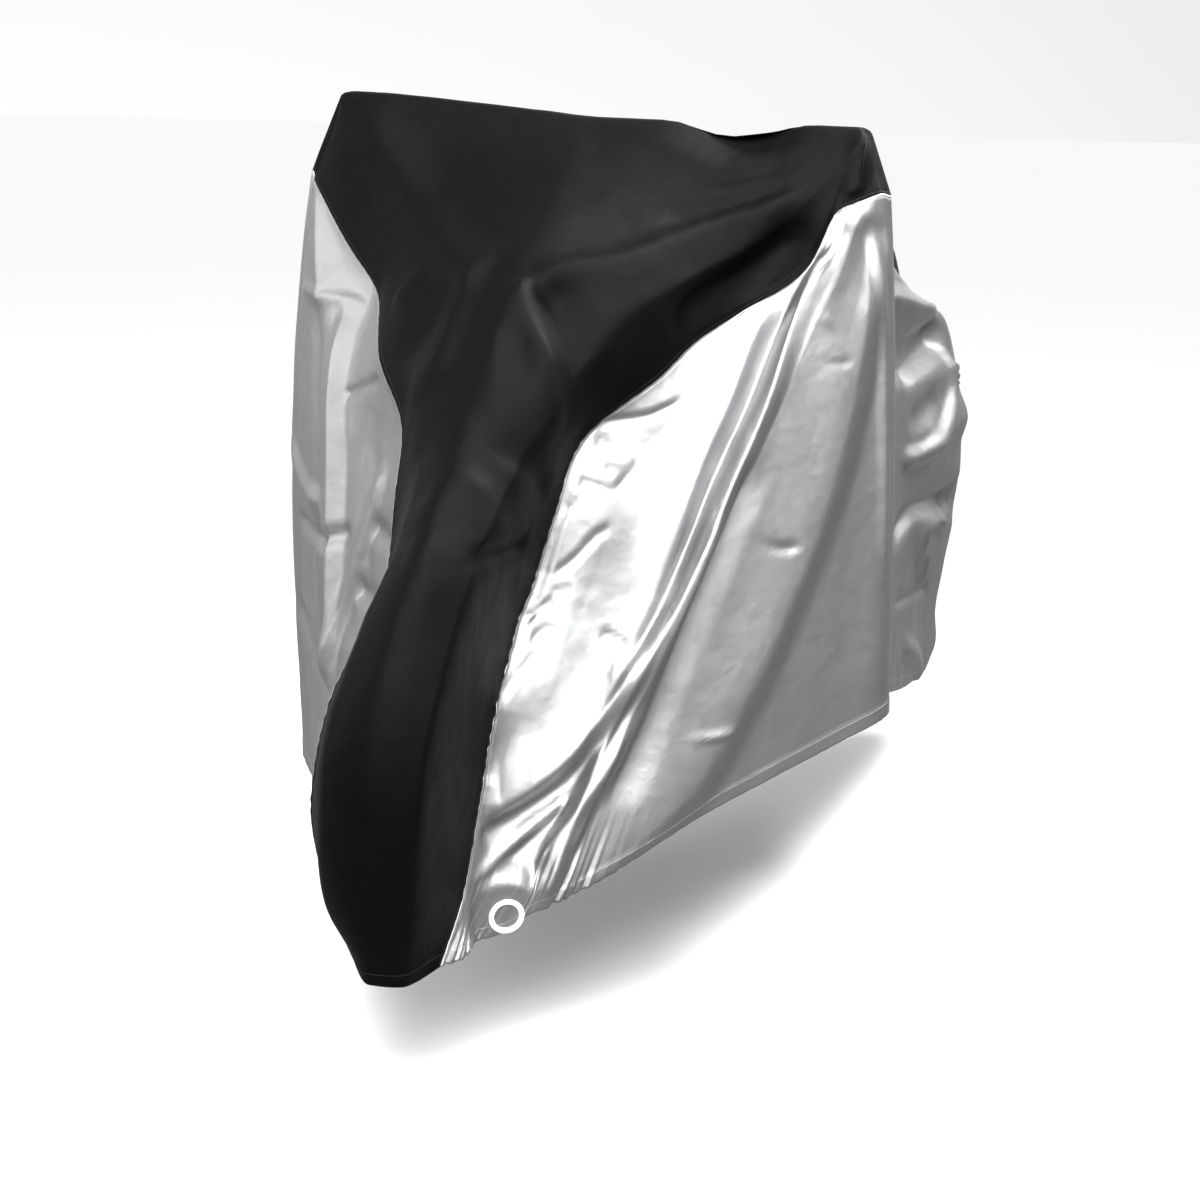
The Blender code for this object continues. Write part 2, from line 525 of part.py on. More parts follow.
def eyelet_frame(hand):
    """Middle of an eyelet and the way it faces."""
    along, down = EYELET[hand]
    return silver_point(along, down, hand), unit(np.array(EYELET_AXIS[hand]))


def flat_share(points, hand):
    """1 where the cloth is flat round an eyelet, 0 where it has its own shape."""
    middle, axis = eyelet_frame(hand)
    reach = points - middle
    apart = lengths(reach - (reach @ axis)[..., None] * axis)[..., 0]
    return 1 - smooth((apart - EYELET_FLAT) / (EYELET_BLEND - EYELET_FLAT))


def silver_sheet(hand, along, down):
    """Middle surface and normals of a silver panel with its folds."""
    along, down = np.meshgrid(along, down, indexing="ij")
    points = silver_point(along, down, hand)
    normals = grid_normals(points, hand)
    heights = folded(points, normals * hand, SILVER_FOLDS[hand],
                     lambda a, d: silver_point(a, d, hand))
    heights *= smooth(down / CALM_TOP) * smooth(along / CALM_FRONT)
    heights *= smooth((1 - along) / CALM_TAIL)
    hem_part = smooth((down - GATHER_TOP) / (1 - GATHER_TOP))
    hem_part = hem_part * smooth((STRIP_END + GATHER_FADE / 2 - along) / GATHER_FADE)
    gather = np.sin(2 * math.pi * GATHERS * along / STRIP_END)
    heights += GATHER_DEPTH * gather * hem_part * smooth(along / CALM_FRONT)
    points = points + normals * heights[..., None]
    middle, axis = eyelet_frame(hand)
    flat = flat_share(points, hand)[..., None]
    points = points - flat * ((points - middle) @ axis)[..., None] * axis
    return points, grid_normals(points, hand)


def black_sheet(sections, across):
    """Middle surface and normals of the black panel with its folds."""
    sections, across = np.meshgrid(sections, across, indexing="ij")
    points = black_point(sections, across)
    normals = grid_normals(points, LEFT)
    heights = folded(points, normals, (BLACK_FOLDS,), black_point)
    heights *= smooth((1 - abs(across)) / CALM_EDGE)
    points = points + normals * heights[..., None]
    return points, grid_normals(points, LEFT)


# ----------------------------------------------------------------- solids
def material(name):
    """A plain material with the finish of that name."""
    colour, roughness, metallic = FINISH[name]
    made = bpy.data.materials.get(name) or bpy.data.materials.new(name)
    made.use_nodes = True
    shader = made.node_tree.nodes["Principled BSDF"]
    shader.inputs["Base Color"].default_value = (*colour, 1.0)
    shader.inputs["Roughness"].default_value = roughness
    shader.inputs["Metallic"].default_value = metallic
    return made


def add_object(name, mesh, finish):
    """Put a bmesh into the scene as one named object."""
    bmesh.ops.recalc_face_normals(mesh, faces=mesh.faces)
    data = bpy.data.meshes.new(name)
    mesh.to_mesh(data)
    mesh.free()
    data.materials.append(material(finish))
    made = bpy.data.objects.new(name, data)
    bpy.context.collection.objects.link(made)
    return made


def boundary(cells):
    """Edges of the used cells that belong to one cell only, with that cell."""
    owners = {}
    for i, j in cells:
        corners = ((i, j), (i + 1, j), (i + 1, j + 1), (i, j + 1))
        for first, second in zip(corners, corners[1:] + corners[:1]):
            owners.setdefault(frozenset((first, second)), []).append((first, second, (i, j)))
    return [found[0] for found in owners.values() if len(found) == 1]


def seam_insets(points, normals, edges):
    """How far each edge vertex moves into its sheet, for half the seam gap."""
    inward = {}
    for first, second, (i, j) in edges:
        facing = normals[first] + normals[second]
        way = unit(np.cross(facing, points[second] - points[first]))
        middle = (points[i, j] + points[i + 1, j + 1] + points[i + 1, j] + points[i, j + 1]) / 4
        if (middle - points[first]) @ way < 0:
            way = -way
        inward.setdefault(first, []).append(way)
        inward.setdefault(second, []).append(way)
    moves = {}
    for vertex, (one, other) in inward.items():
        moves[vertex] = SEAM_GAP / 2 * (one + other) / max(1 + one @ other, 0.5)
    return moves


def add_sheet(name, points, normals, half, cells, finish):
    """A sheet of cloth: the used cells of a grid, thickened along the normals."""
    edges = boundary(cells)
    moves = seam_insets(points, normals, edges)
    mesh = bmesh.new()
    outer, inner = {}, {}
    for i, j in cells:
        for vertex in ((i, j), (i + 1, j), (i + 1, j + 1), (i, j + 1)):
            if vertex in outer:
                continue
            middle = points[vertex] + moves.get(vertex, 0.0)
            reach = normals[vertex] * half[vertex]
            outer[vertex] = mesh.verts.new(middle + reach)
            inner[vertex] = mesh.verts.new(middle - reach)
    for i, j in cells:
        for other in ((i + 1, j), (i, j + 1)):
            corners = [(i, j), other, (i + 1, j + 1)]
            mesh.faces.new([outer[corner] for corner in corners])
            mesh.faces.new([inner[corner] for corner in corners])
    for first, second, _ in edges:
        mesh.faces.new([outer[first], outer[second], inner[second]])
        mesh.faces.new([outer[first], inner[second], inner[first]])
    return add_object(name, mesh, finish)


def share_seam(my_normals, my_half, others):
    """Give two sheets one normal and one mitred thickness along their seam."""
    for my_vertex, their_vertex, their_normals, their_half in others:
        both = unit(my_normals[my_vertex] + their_normals[their_vertex])
        mitre = max(float(both @ my_normals[my_vertex]), MITRE_LIMIT)
        thick = max(my_half[my_vertex], their_half[their_vertex]) / mitre
        my_normals[my_vertex] = both
        their_normals[their_vertex] = both
        my_half[my_vertex] = thick
        their_half[their_vertex] = thick


def sheet_half(shape, hem_share):
    """Half thickness over a grid, thicker along the hem."""
    return np.full(shape, CLOTH / 2) + (HEM_CLOTH - CLOTH) / 2 * hem_share


def build_sheets():
    """The three panels and the two eyelet strips."""
    along, down = steps(ALONG_STEPS), steps(DOWN_STEPS)
    last = len(along) - 1
    top_sections = fan(along[:last])[0]
    front_sections = front_rows(down)
    sections = np.concatenate([front_sections[::-1], top_sections[1:]])
    across = np.linspace(-1, 1, ACROSS_CELLS + 1)

    black, black_normals = black_sheet(sections, across)
    black_half = sheet_half(black.shape[:2], (1 - smooth(sections / HEM_SECTIONS))[:, None])
    silver = {}
    for hand in HANDS:
        points, normals = silver_sheet(hand, along, down)
        normals[0, 0] = normals[1, 1]
        hem_share = smooth((down - 1 + HEM_DEPTH) / HEM_DEPTH)[None, :]
        half = sheet_half(points.shape[:2], hem_share * (1 - flat_share(points, hand)))
        silver[hand] = points, normals, half

    corner = len(down) - 1
    for hand, (points, normals, half) in silver.items():
        edge = ACROSS_CELLS if hand == LEFT else 0
        pairs = [((corner - j, edge), (0, j)) for j in range(1, len(down))]
        pairs += [((corner + i, edge), (i, 0)) for i in range(last)]
        share_seam(black_normals, black_half,
                   [(mine, theirs, normals, half) for mine, theirs in pairs])
    left, right = silver[LEFT], silver[RIGHT]
    share_seam(left[1], left[2],
               [((last, j), (last, j), right[1], right[2]) for j in range(len(down))])

    cells = [(i, j) for i in range(len(sections) - 1) for j in range(ACROSS_CELLS)]
    add_sheet("panel_black", black, black_normals, black_half, cells, "black polyester")
    strip_end = int(np.argmin(abs(along - STRIP_END)))
    strip_top = int(np.argmin(abs(down - STRIP_TOP)))
    for hand, (points, normals, half) in silver.items():
        cells = [(i, j) for i in range(last) for j in range(len(down) - 1)]
        strip = [(i, j) for i, j in cells if i < strip_end and j >= strip_top]
        panel = [cell for cell in cells if cell not in strip]
        add_sheet("panel_silver_" + HANDS[hand], points, normals, half, panel,
                  "silver polyester")
        made = add_sheet("eyelet_strip_" + HANDS[hand], points, normals, half, strip,
                         "silver polyester")
        cut_eyelet(made, hand)


def turned_to(axis):
    """Rotation that turns Z to an axis."""
    return Vector((0, 0, 1)).rotation_difference(Vector(axis))


def cut_eyelet(strip, hand):
    """Cut the round hole that the ring's barrel goes through."""
    middle, axis = eyelet_frame(hand)
    radius = EYELET_BORE + EYELET_WALL + EYELET_PLAY
    mesh = bmesh.new()
    bmesh.ops.create_cone(mesh, cap_ends=True, segments=EYELET_TURN, radius1=radius,
                          radius2=radius, depth=8 * CLOTH)
    cutter = add_object("cutter_" + HANDS[hand], mesh, "white plastic")
    cutter.location = middle
    cutter.rotation_mode = "QUATERNION"
    cutter.rotation_quaternion = turned_to(axis)
    cutter.hide_render = True
    cutter.display_type = "WIRE"
    cut = strip.modifiers.new("eyelet", "BOOLEAN")
    cut.operation = "DIFFERENCE"
    cut.solver = "EXACT"
    cut.object = cutter


def build_ring(hand):
    """An eyelet's ring: a barrel with a flange on each face of the cloth."""
    middle, axis = eyelet_frame(hand)
    groove = CLOTH / 2 + EYELET_PLAY
    face = groove + EYELET_FLANGE
    barrel = EYELET_BORE + EYELET_WALL
    upper = [(barrel, groove), (EYELET_OUTER, groove), (EYELET_OUTER, face - EYELET_EDGE),
             (EYELET_OUTER - EYELET_EDGE, face), (EYELET_BORE + EYELET_EDGE, face),
             (EYELET_BORE, face - EYELET_EDGE)]
    profile = upper + [(radius, -z) for radius, z in reversed(upper)]
    mesh = bmesh.new()
    verts = [mesh.verts.new((radius, 0.0, z)) for radius, z in profile]
    edges = [mesh.edges.new(pair) for pair in zip(verts, verts[1:] + verts[:1])]
    bmesh.ops.spin(mesh, geom=verts + edges, cent=(0, 0, 0), axis=(0, 0, 1),
                   angle=2 * math.pi, steps=EYELET_TURN, use_merge=True)
    bmesh.ops.remove_doubles(mesh, verts=mesh.verts, dist=1e-6)
    ring = add_object("eyelet_ring_" + HANDS[hand], mesh, "white plastic")
    ring.location = middle
    ring.rotation_mode = "QUATERNION"
    ring.rotation_quaternion = turned_to(axis)


def main():
    """Clear the scene and build the cover."""
    for old in list(bpy.data.objects):
        bpy.data.objects.remove(old)
    build_sheets()
    for hand in HANDS:
        build_ring(hand)


main()
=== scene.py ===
"""Looks of a bicycle cover that hangs over a handlebar, a saddle and two wheels.

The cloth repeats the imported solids' surfaces on a finer grid, and adds the small
folds, puckers, gathers and stitches. Metres; X is forward, Y to the left, Z up.
"""

import math

import bmesh
import bpy
import numpy as np
from mathutils import Matrix, Vector

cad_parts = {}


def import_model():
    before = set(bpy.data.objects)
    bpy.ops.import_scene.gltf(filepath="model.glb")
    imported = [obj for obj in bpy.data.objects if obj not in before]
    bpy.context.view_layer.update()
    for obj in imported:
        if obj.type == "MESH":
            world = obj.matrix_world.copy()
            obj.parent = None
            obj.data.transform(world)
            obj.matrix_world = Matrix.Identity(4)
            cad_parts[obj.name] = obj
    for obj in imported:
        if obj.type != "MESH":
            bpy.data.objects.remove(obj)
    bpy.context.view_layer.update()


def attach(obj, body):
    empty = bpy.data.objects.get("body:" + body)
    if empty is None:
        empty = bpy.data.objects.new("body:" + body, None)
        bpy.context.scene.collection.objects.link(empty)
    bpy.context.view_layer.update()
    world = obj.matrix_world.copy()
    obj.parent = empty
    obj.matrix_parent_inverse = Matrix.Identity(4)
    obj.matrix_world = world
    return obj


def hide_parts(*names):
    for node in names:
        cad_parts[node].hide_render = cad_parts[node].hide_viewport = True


# ------------------------------------------------------------------ sizes
CLOTH = 0.0020               # thickness of a packed sheet, which the eyelets fit
MITRE_LIMIT = 0.6            # a seam's edges thicken by one over this at most
STEER = math.radians(18.8)   # front wheel and handlebar turned to the left
LEAN = 0.053                 # sideways lean for each metre of height
FRAME_SIDE = -0.016          # the frame's middle line, beside the handlebar's
BAR_TILT = 0.05              # rise of the bar for each metre to the right
BAR_CORNER = 0.75            # how much sharper the cloth turns down at the grips
BAR_START, BAR_RISE = 7, 3   # the bar shapes the sections from here, after a rise,
BAR_END, BAR_FALL = 14, 2    # to here, with a fall before it
GRIP = 10.6                  # section number where the front seam meets the grip
LEFT, RIGHT = 1, -1
HANDS = {LEFT: "left", RIGHT: "right"}

EYELET_OUTER = 0.0190        # radius of the ring's flanges
EYELET_BORE = 0.0135         # radius of the hole through the ring
EYELET_WALL = 0.0016         # wall of the ring's barrel
EYELET_FLANGE = 0.0011       # thickness of a flange
EYELET_PLAY = 0.0003         # clearance from the ring to the cloth
EYELET_DIP = 0.006           # how far the hem dips under the ring
EYELET_DIP_WIDTH = 0.050     # along the panel, from the ring to the dip's end
EYELET_FLAT = 0.032          # the cloth is flat this far round the ring's middle
EYELET_BLEND = 0.058         # and takes its own shape again from here on
EYELET = {LEFT: (0.098, 0.966), RIGHT: (0.098, 0.966)}   # along, down
# The way each ring faces. The left one is pulled round towards the front.
EYELET_AXIS = {LEFT: (0.62, 0.78, -0.05), RIGHT: (0.61, -0.77, -0.17)}

STRIP_END = 0.20             # how far along the panel the gathered strip runs
GATHERS = 7                  # gathers along the strip
GATHER_DEPTH = 0.0022        # and how far they stand out at the hem
GATHER_TOP = 0.88            # how far down the panel they start
GATHER_FADE = 0.04           # along the panel, over which they end

# Shares of a silver panel, along or down, over which its folds fade to its seams.
CALM_FRONT, CALM_TAIL, CALM_TOP = 0.025, 0.04, 0.04
CALM_EDGE = 0.10             # the same across the black panel
FRONT_REACH = 0.18           # how far along a silver panel its front seam shapes it
TAIL_REACH = 0.35            # and its tail seam, from the other end
CORNER_START, CORNER_RISE = 0.02, 0.36     # the hem sinks to the corner below the grip
CORNER_END, CORNER_FALL = 0.46, 0.30       # and rises again behind it

HEM_DROP = {LEFT: 0.0, RIGHT: 0.120}       # how much lower the corner hangs
HEM_RISE = {LEFT: 0.0, RIGHT: 0.040}       # how much higher the front seam ends
HEM_RISE_SECTIONS = 1.4                    # over this many sections
EDGE_BELLY = {LEFT: 0.006, RIGHT: 0.022}   # how far the edge below a grip bows out
BELLY_SHAPE = 0.8                          # below 1 it bows out most above its middle
BELLY_STEER = (1.0, 0.6)                   # turn of its way out, front and rear half
CURVE_STEPS = 401                          # points along a curve that is shared out evenly

# ----------------------------------------------------------------- tables
# Sections across the black panel, from its front hem to its tongue.
# steer, lean: how much of the turn and of the lean the section takes;
# then the middle, the shoulder and the seam, with half widths.
#    steer lean  middle         shoulder              seam
#                fore    z      fore   half   z       fore   half   z
SECTIONS = {
    "hem":         (1.0, 1.0,  0.572, -0.814,  0.562, 0.032, -0.816,  0.515, 0.052, -0.812),
    "low nose":    (1.0, 1.0,  0.600, -0.745,  0.584, 0.042, -0.742,  0.520, 0.073, -0.735),
    "hub":         (1.0, 1.0,  0.612, -0.655,  0.596, 0.046, -0.650,  0.530, 0.086, -0.650),
    "high nose":   (1.0, 1.0,  0.602, -0.555,  0.582, 0.048, -0.555,  0.498, 0.086, -0.558),
    "tyre front":  (1.0, 1.0,  0.545, -0.440,  0.520, 0.050, -0.450,  0.435, 0.079, -0.500),
    "tyre top":    (1.0, 1.0,  0.470, -0.365,  0.448, 0.052, -0.378,  0.378, 0.079, -0.450),
    "waist":       (1.0, 1.0,  0.395, -0.305,  0.378, 0.055, -0.325,  0.342, 0.084, -0.375),
    "low face":    (1.0, 1.0,  0.318, -0.225,  0.300, 0.085, -0.250,  0.300, 0.100, -0.305),
    "knee":        (1.0, 0.6,  0.225, -0.135,  0.215, 0.120, -0.180,  0.235, 0.153, -0.247),
    "face":        (1.0, 0.3,  0.115, -0.065,  0.090, 0.220, -0.105,  0.135, 0.215, -0.185),
    "bar front":   (1.0, 0.0,  0.030, -0.004,  0.022, 0.300, -0.006,  0.065, 0.300, -0.100),
    "bar top":     (1.0, 0.0,  0.000,  0.010,  0.000, 0.303,  0.018,  0.030, 0.333, -0.068),
    "bar back":    (1.0, 0.0, -0.030,  0.002, -0.024, 0.308,  0.006, -0.006, 0.338, -0.060),
    "neck":        (0.5, 0.0, -0.180, -0.030, -0.190, 0.225, -0.035, -0.185, 0.250, -0.085),
    "back":        (0.1, 0.3, -0.340, -0.070, -0.350, 0.150, -0.075, -0.350, 0.172, -0.125),
    "saddle nose": (0.0, 1.0, -0.460, -0.100, -0.460, 0.095, -0.112, -0.460, 0.115, -0.155),
    "saddle":      (0.0, 1.0, -0.570, -0.110, -0.570, 0.080, -0.125, -0.570, 0.098, -0.170),
    "saddle back": (0.0, 1.0, -0.665, -0.150, -0.665, 0.062, -0.163, -0.665, 0.074, -0.200),
    "tongue":      (0.0, 1.0, -0.755, -0.215, -0.755, 0.032, -0.219, -0.755, 0.042, -0.232),
    "tongue end":  (0.0, 1.0, -0.835, -0.242, -0.835, 0.004, -0.242, -0.835, 0.006, -0.243),
}

# Where folds pull the two seams away from one shape for both: section, then
# backwards, outwards and up for the left seam, outwards and up for the right
# one, and outwards for the right shoulder. The left seam is tucked in behind
# the wheel.
#          left                    right           right
# section  back    out     up      out     up      shoulder
SEAM_PULL = (
    ( 0.0,  0.000,  0.000,  0.000,  0.000,  0.000, -0.012),
    ( 1.0,  0.065, -0.022, -0.028,  0.000,  0.000, -0.002),
    ( 2.0,  0.111, -0.037, -0.043,  0.000,  0.000,  0.000),
    ( 3.0,  0.122, -0.040, -0.040,  0.000,  0.000,  0.000),
    ( 4.0,  0.110, -0.035, -0.032,  0.000,  0.000, -0.012),
    ( 4.5,  0.096, -0.033, -0.026, -0.005, -0.002, -0.018),
    ( 5.0,  0.085, -0.027, -0.022, -0.001,  0.000, -0.018),
    ( 6.0,  0.075, -0.019, -0.017,  0.003,  0.001, -0.008),
    ( 7.0,  0.066, -0.019, -0.012,  0.000,  0.000,  0.000),
    ( 8.0,  0.054, -0.014, -0.008,  0.006, -0.002,  0.000),
    ( 8.5,  0.046, -0.016, -0.001,  0.002,  0.000,  0.000),
    ( 9.0,  0.035, -0.009, -0.002, -0.006,  0.002,  0.000),
    ( 9.5,  0.022,  0.003, -0.005,  0.000,  0.000,  0.000),
    (10.0,  0.008, -0.012,  0.014,  0.000,  0.000,  0.000),
    (10.5,  0.000, -0.015,  0.006,  0.000,  0.000,  0.000),
    (11.0,  0.000, -0.001,  0.006,  0.000,  0.000,  0.000),
    (11.5,  0.000, -0.004, -0.003, -0.005,  0.001,  0.000),
    (12.0,  0.000, -0.002, -0.005,  0.000,  0.000,  0.000),
    (13.0,  0.000,  0.000,  0.000,  0.000,  0.000,  0.000),
    (19.0,  0.000,  0.000,  0.000,  0.000,  0.000,  0.000),
)

# The lower hem of a silver panel, from the front seam to the tail.
#    steer lean  fore   half    z
HEM = {
    "front seam": (1.0, 1.0,  0.515, 0.0520, -0.812),
    "gathers":    (1.0, 1.0,  0.465, 0.0670, -0.817),
    "eyelet":     (1.0, 1.0,  0.415, 0.0860, -0.808),
    "gather end": (1.0, 0.9,  0.368, 0.1180, -0.785),
    "front":      (1.0, 0.4,  0.220, 0.2150, -0.730),
    "near grip":  (1.0, 0.1,  0.080, 0.3130, -0.684),
    "corner":     (1.0, 0.0,  0.003, 0.3660, -0.660),
    "behind":     (0.9, 0.0, -0.085, 0.3450, -0.672),
    "pedals":     (0.4, 0.1, -0.300, 0.2500, -0.715),
    "rear wheel": (0.0, 0.5, -0.560, 0.1600, -0.775),
    "rear hub":   (0.0, 1.0, -0.840, 0.0850, -0.838),
    "tail":       (0.0, 1.0, -0.975, 0.0400, -0.858),
    "tail end":   (0.0, 1.0, -1.020, 0.0000, -0.865),
}

# The seam down the tail, from the tongue to the hem.
#    fore    z
TAIL = {
    "tongue end":  (-0.8365, -0.2435),
    "rack":        (-0.9150, -0.2700),
    "rack end":    (-0.9850, -0.3020),
    "fall":        (-1.0450, -0.3850),
    "wheel top":   (-1.0850, -0.4800),
    "wheel":       (-1.0950, -0.5800),
    "dent":        (-1.0650, -0.6900),
    "low":         (-1.0450, -0.7650),
    "flare":       (-1.0550, -0.8250),
    "hem":         (-1.0200, -0.8650),
}

# Fan lines of a silver panel: where each leaves the seam and meets the hem.
#    along   section  hem row
FAN = {
    "front seam": (0.000, 10.60,  0.0),
    "eyelet":     (0.070, 10.68,  1.3),
    "ridge":      (0.160, 10.80,  2.8),
    "front":      (0.250, 10.95,  3.7),
    "near edge":  (0.340, 11.15,  4.8),
    "edge":       (0.430, 11.50,  6.0),
    "behind":     (0.500, 12.10,  7.0),
    "pedals":     (0.620, 13.20,  8.0),
    "rear wheel": (0.740, 14.70,  9.0),
    "rear hub":   (0.860, 16.70, 10.0),
    "tongue end": (0.985, 19.00, 11.9),
    "tail":       (1.000, 19.00, 12.0),
}

# Folds. A silver panel's path is (along, down), the black one's is (section, across).
# For a path that runs down, the first width lies towards the front seam on a silver
# panel and towards the right seam on the black one.
def fold(height, first, second, crisp, start, end, *path):
    """A fold's height (out is plus), the widths of its two sides, how crisp its crest
    is, the lengths over which it rises at its two ends, and its path."""
    return (height, first, second, crisp, start, end), path


def wrinkle(height, width, *path):
    """A short shallow fold with two like sides."""
    return fold(height, width, width, 0.4, 0.01, 0.01, *path)


LEFT_FOLDS = {
    "pillow": fold(0.014, 0.08, 0.07, 0.0, 0.12, 0.1,
        (0.042, 0.37), (0.056, 0.5), (0.058, 0.64), (0.056, 0.76)),
    "pillow side": fold(0.006, 0.05, 0.014, 0.3, 0.05, 0.1,
        (0.062, 0.15), (0.1, 0.28), (0.124, 0.44), (0.129, 0.58)),
    "trough": fold(-0.011, 0.018, 0.012, 0.3, 0.05, 0.08,
        (0.073, 0.13), (0.109, 0.22), (0.127, 0.31), (0.138, 0.44), (0.142, 0.59)),
    "ridge": fold(0.013, 0.018, 0.016, 0.5, 0.04, 0.0,
        (0.08, 0.06), (0.12, 0.15), (0.15, 0.28), (0.16, 0.44), (0.162, 0.58), (0.153, 0.7),
        (0.149, 0.82), (0.155, 1.0)),
    "pillow edge": fold(0.014, 0.06, 0.018, 0.5, 0.05, 0.02,
        (0.149, 0.63), (0.138, 0.71), (0.115, 0.765), (0.069, 0.81), (0.01, 0.835)),
    "under pillow": fold(-0.009, 0.02, 0.022, 0.0, 0.05, 0.02,
        (0.165, 0.69), (0.138, 0.79), (0.08, 0.835), (0.01, 0.865)),
    "rope": fold(0.006, 0.01, 0.012, 0.4, 0.05, 0.03,
        (0.167, 0.44), (0.171, 0.58), (0.169, 0.72), (0.167, 0.83), (0.162, 0.93)),
    "flat valley": fold(-0.007, 0.015, 0.035, 0.0, 0.06, 0.05,
        (0.175, 0.36), (0.187, 0.53), (0.193, 0.65), (0.198, 0.8), (0.19, 0.9)),
    "soft ridge": fold(0.015, 0.09, 0.045, 0.2, 0.1, 0.0,
        (0.3, 0.05), (0.314, 0.27), (0.31, 0.49), (0.295, 0.66), (0.279, 0.81), (0.262, 0.92),
        (0.235, 0.97), (0.2, 1.0)),
    "high pinch": fold(-0.0035, 0.007, 0.01, 0.6, 0.06, 0.015,
        (0.205, 0.234), (0.255, 0.262), (0.305, 0.276)),
    "mid pinch": fold(-0.0055, 0.007, 0.014, 0.7, 0.05, 0.01,
        (0.236, 0.52), (0.262, 0.553), (0.29, 0.576)),
    "low pinch": fold(0.0045, 0.007, 0.01, 0.7, 0.04, 0.015,
        (0.24, 0.825), (0.262, 0.849), (0.28, 0.86)),
    "first fan": fold(0.006, 0.012, 0.012, 0.3, 0.03, 0.03,
        (0.14, 0.826), (0.098, 0.845), (0.06, 0.875), (0.012, 0.907)),
    "second fan": fold(0.006, 0.012, 0.012, 0.3, 0.03, 0.03,
        (0.169, 0.764), (0.16, 0.82), (0.136, 0.89), (0.105, 0.92)),
    "fan valley": fold(-0.005, 0.012, 0.012, 0.1, 0.03, 0.03,
        (0.146, 0.783), (0.135, 0.845), (0.092, 0.875), (0.05, 0.907)),
}
RIGHT_FOLDS = {
    "ridge": fold(0.01, 0.03, 0.03, 0.3, 0.1, 0.0,
        (0.08, 0.14), (0.13, 0.34), (0.15, 0.6), (0.17, 0.85), (0.19, 1.0)),
    "trough": fold(-0.008, 0.03, 0.04, 0.1, 0.1, 0.1,
        (0.16, 0.12), (0.21, 0.35), (0.23, 0.6), (0.24, 0.85)),
    "cross": fold(0.007, 0.02, 0.03, 0.4, 0.05, 0.05, (0.43, 0.44), (0.3, 0.47), (0.16, 0.46)),
    "low cross": fold(-0.006, 0.03, 0.03, 0.1, 0.05, 0.06, (0.42, 0.7), (0.28, 0.74), (0.12, 0.7)),
}
REAR_FOLDS = {
    "rack edge": fold(0.012, 0.03, 0.03, 0.4, 0.03, 0.06,
        (0.97, 0.1), (0.93, 0.14), (0.86, 0.16), (0.78, 0.12)),
    "under rack": fold(-0.022, 0.05, 0.06, 0.0, 0.05, 0.1,
        (0.96, 0.22), (0.9, 0.24), (0.82, 0.26), (0.72, 0.3)),
    "wheel side": fold(0.015, 0.06, 0.06, 0.1, 0.08, 0.1, (0.97, 0.42), (0.9, 0.44), (0.8, 0.5)),
    "wheel dent": fold(-0.012, 0.045, 0.045, 0.1, 0.05, 0.1,
        (0.98, 0.6), (0.92, 0.62), (0.84, 0.66)),
    "rear hang": fold(0.016, 0.05, 0.05, 0.1, 0.12, 0.0,
        (0.66, 0.1), (0.68, 0.4), (0.7, 0.7), (0.71, 1.0)),
    "frame dent": fold(-0.018, 0.07, 0.07, 0.0, 0.12, 0.0,
        (0.57, 0.1), (0.58, 0.4), (0.585, 0.7), (0.59, 1.0)),
}
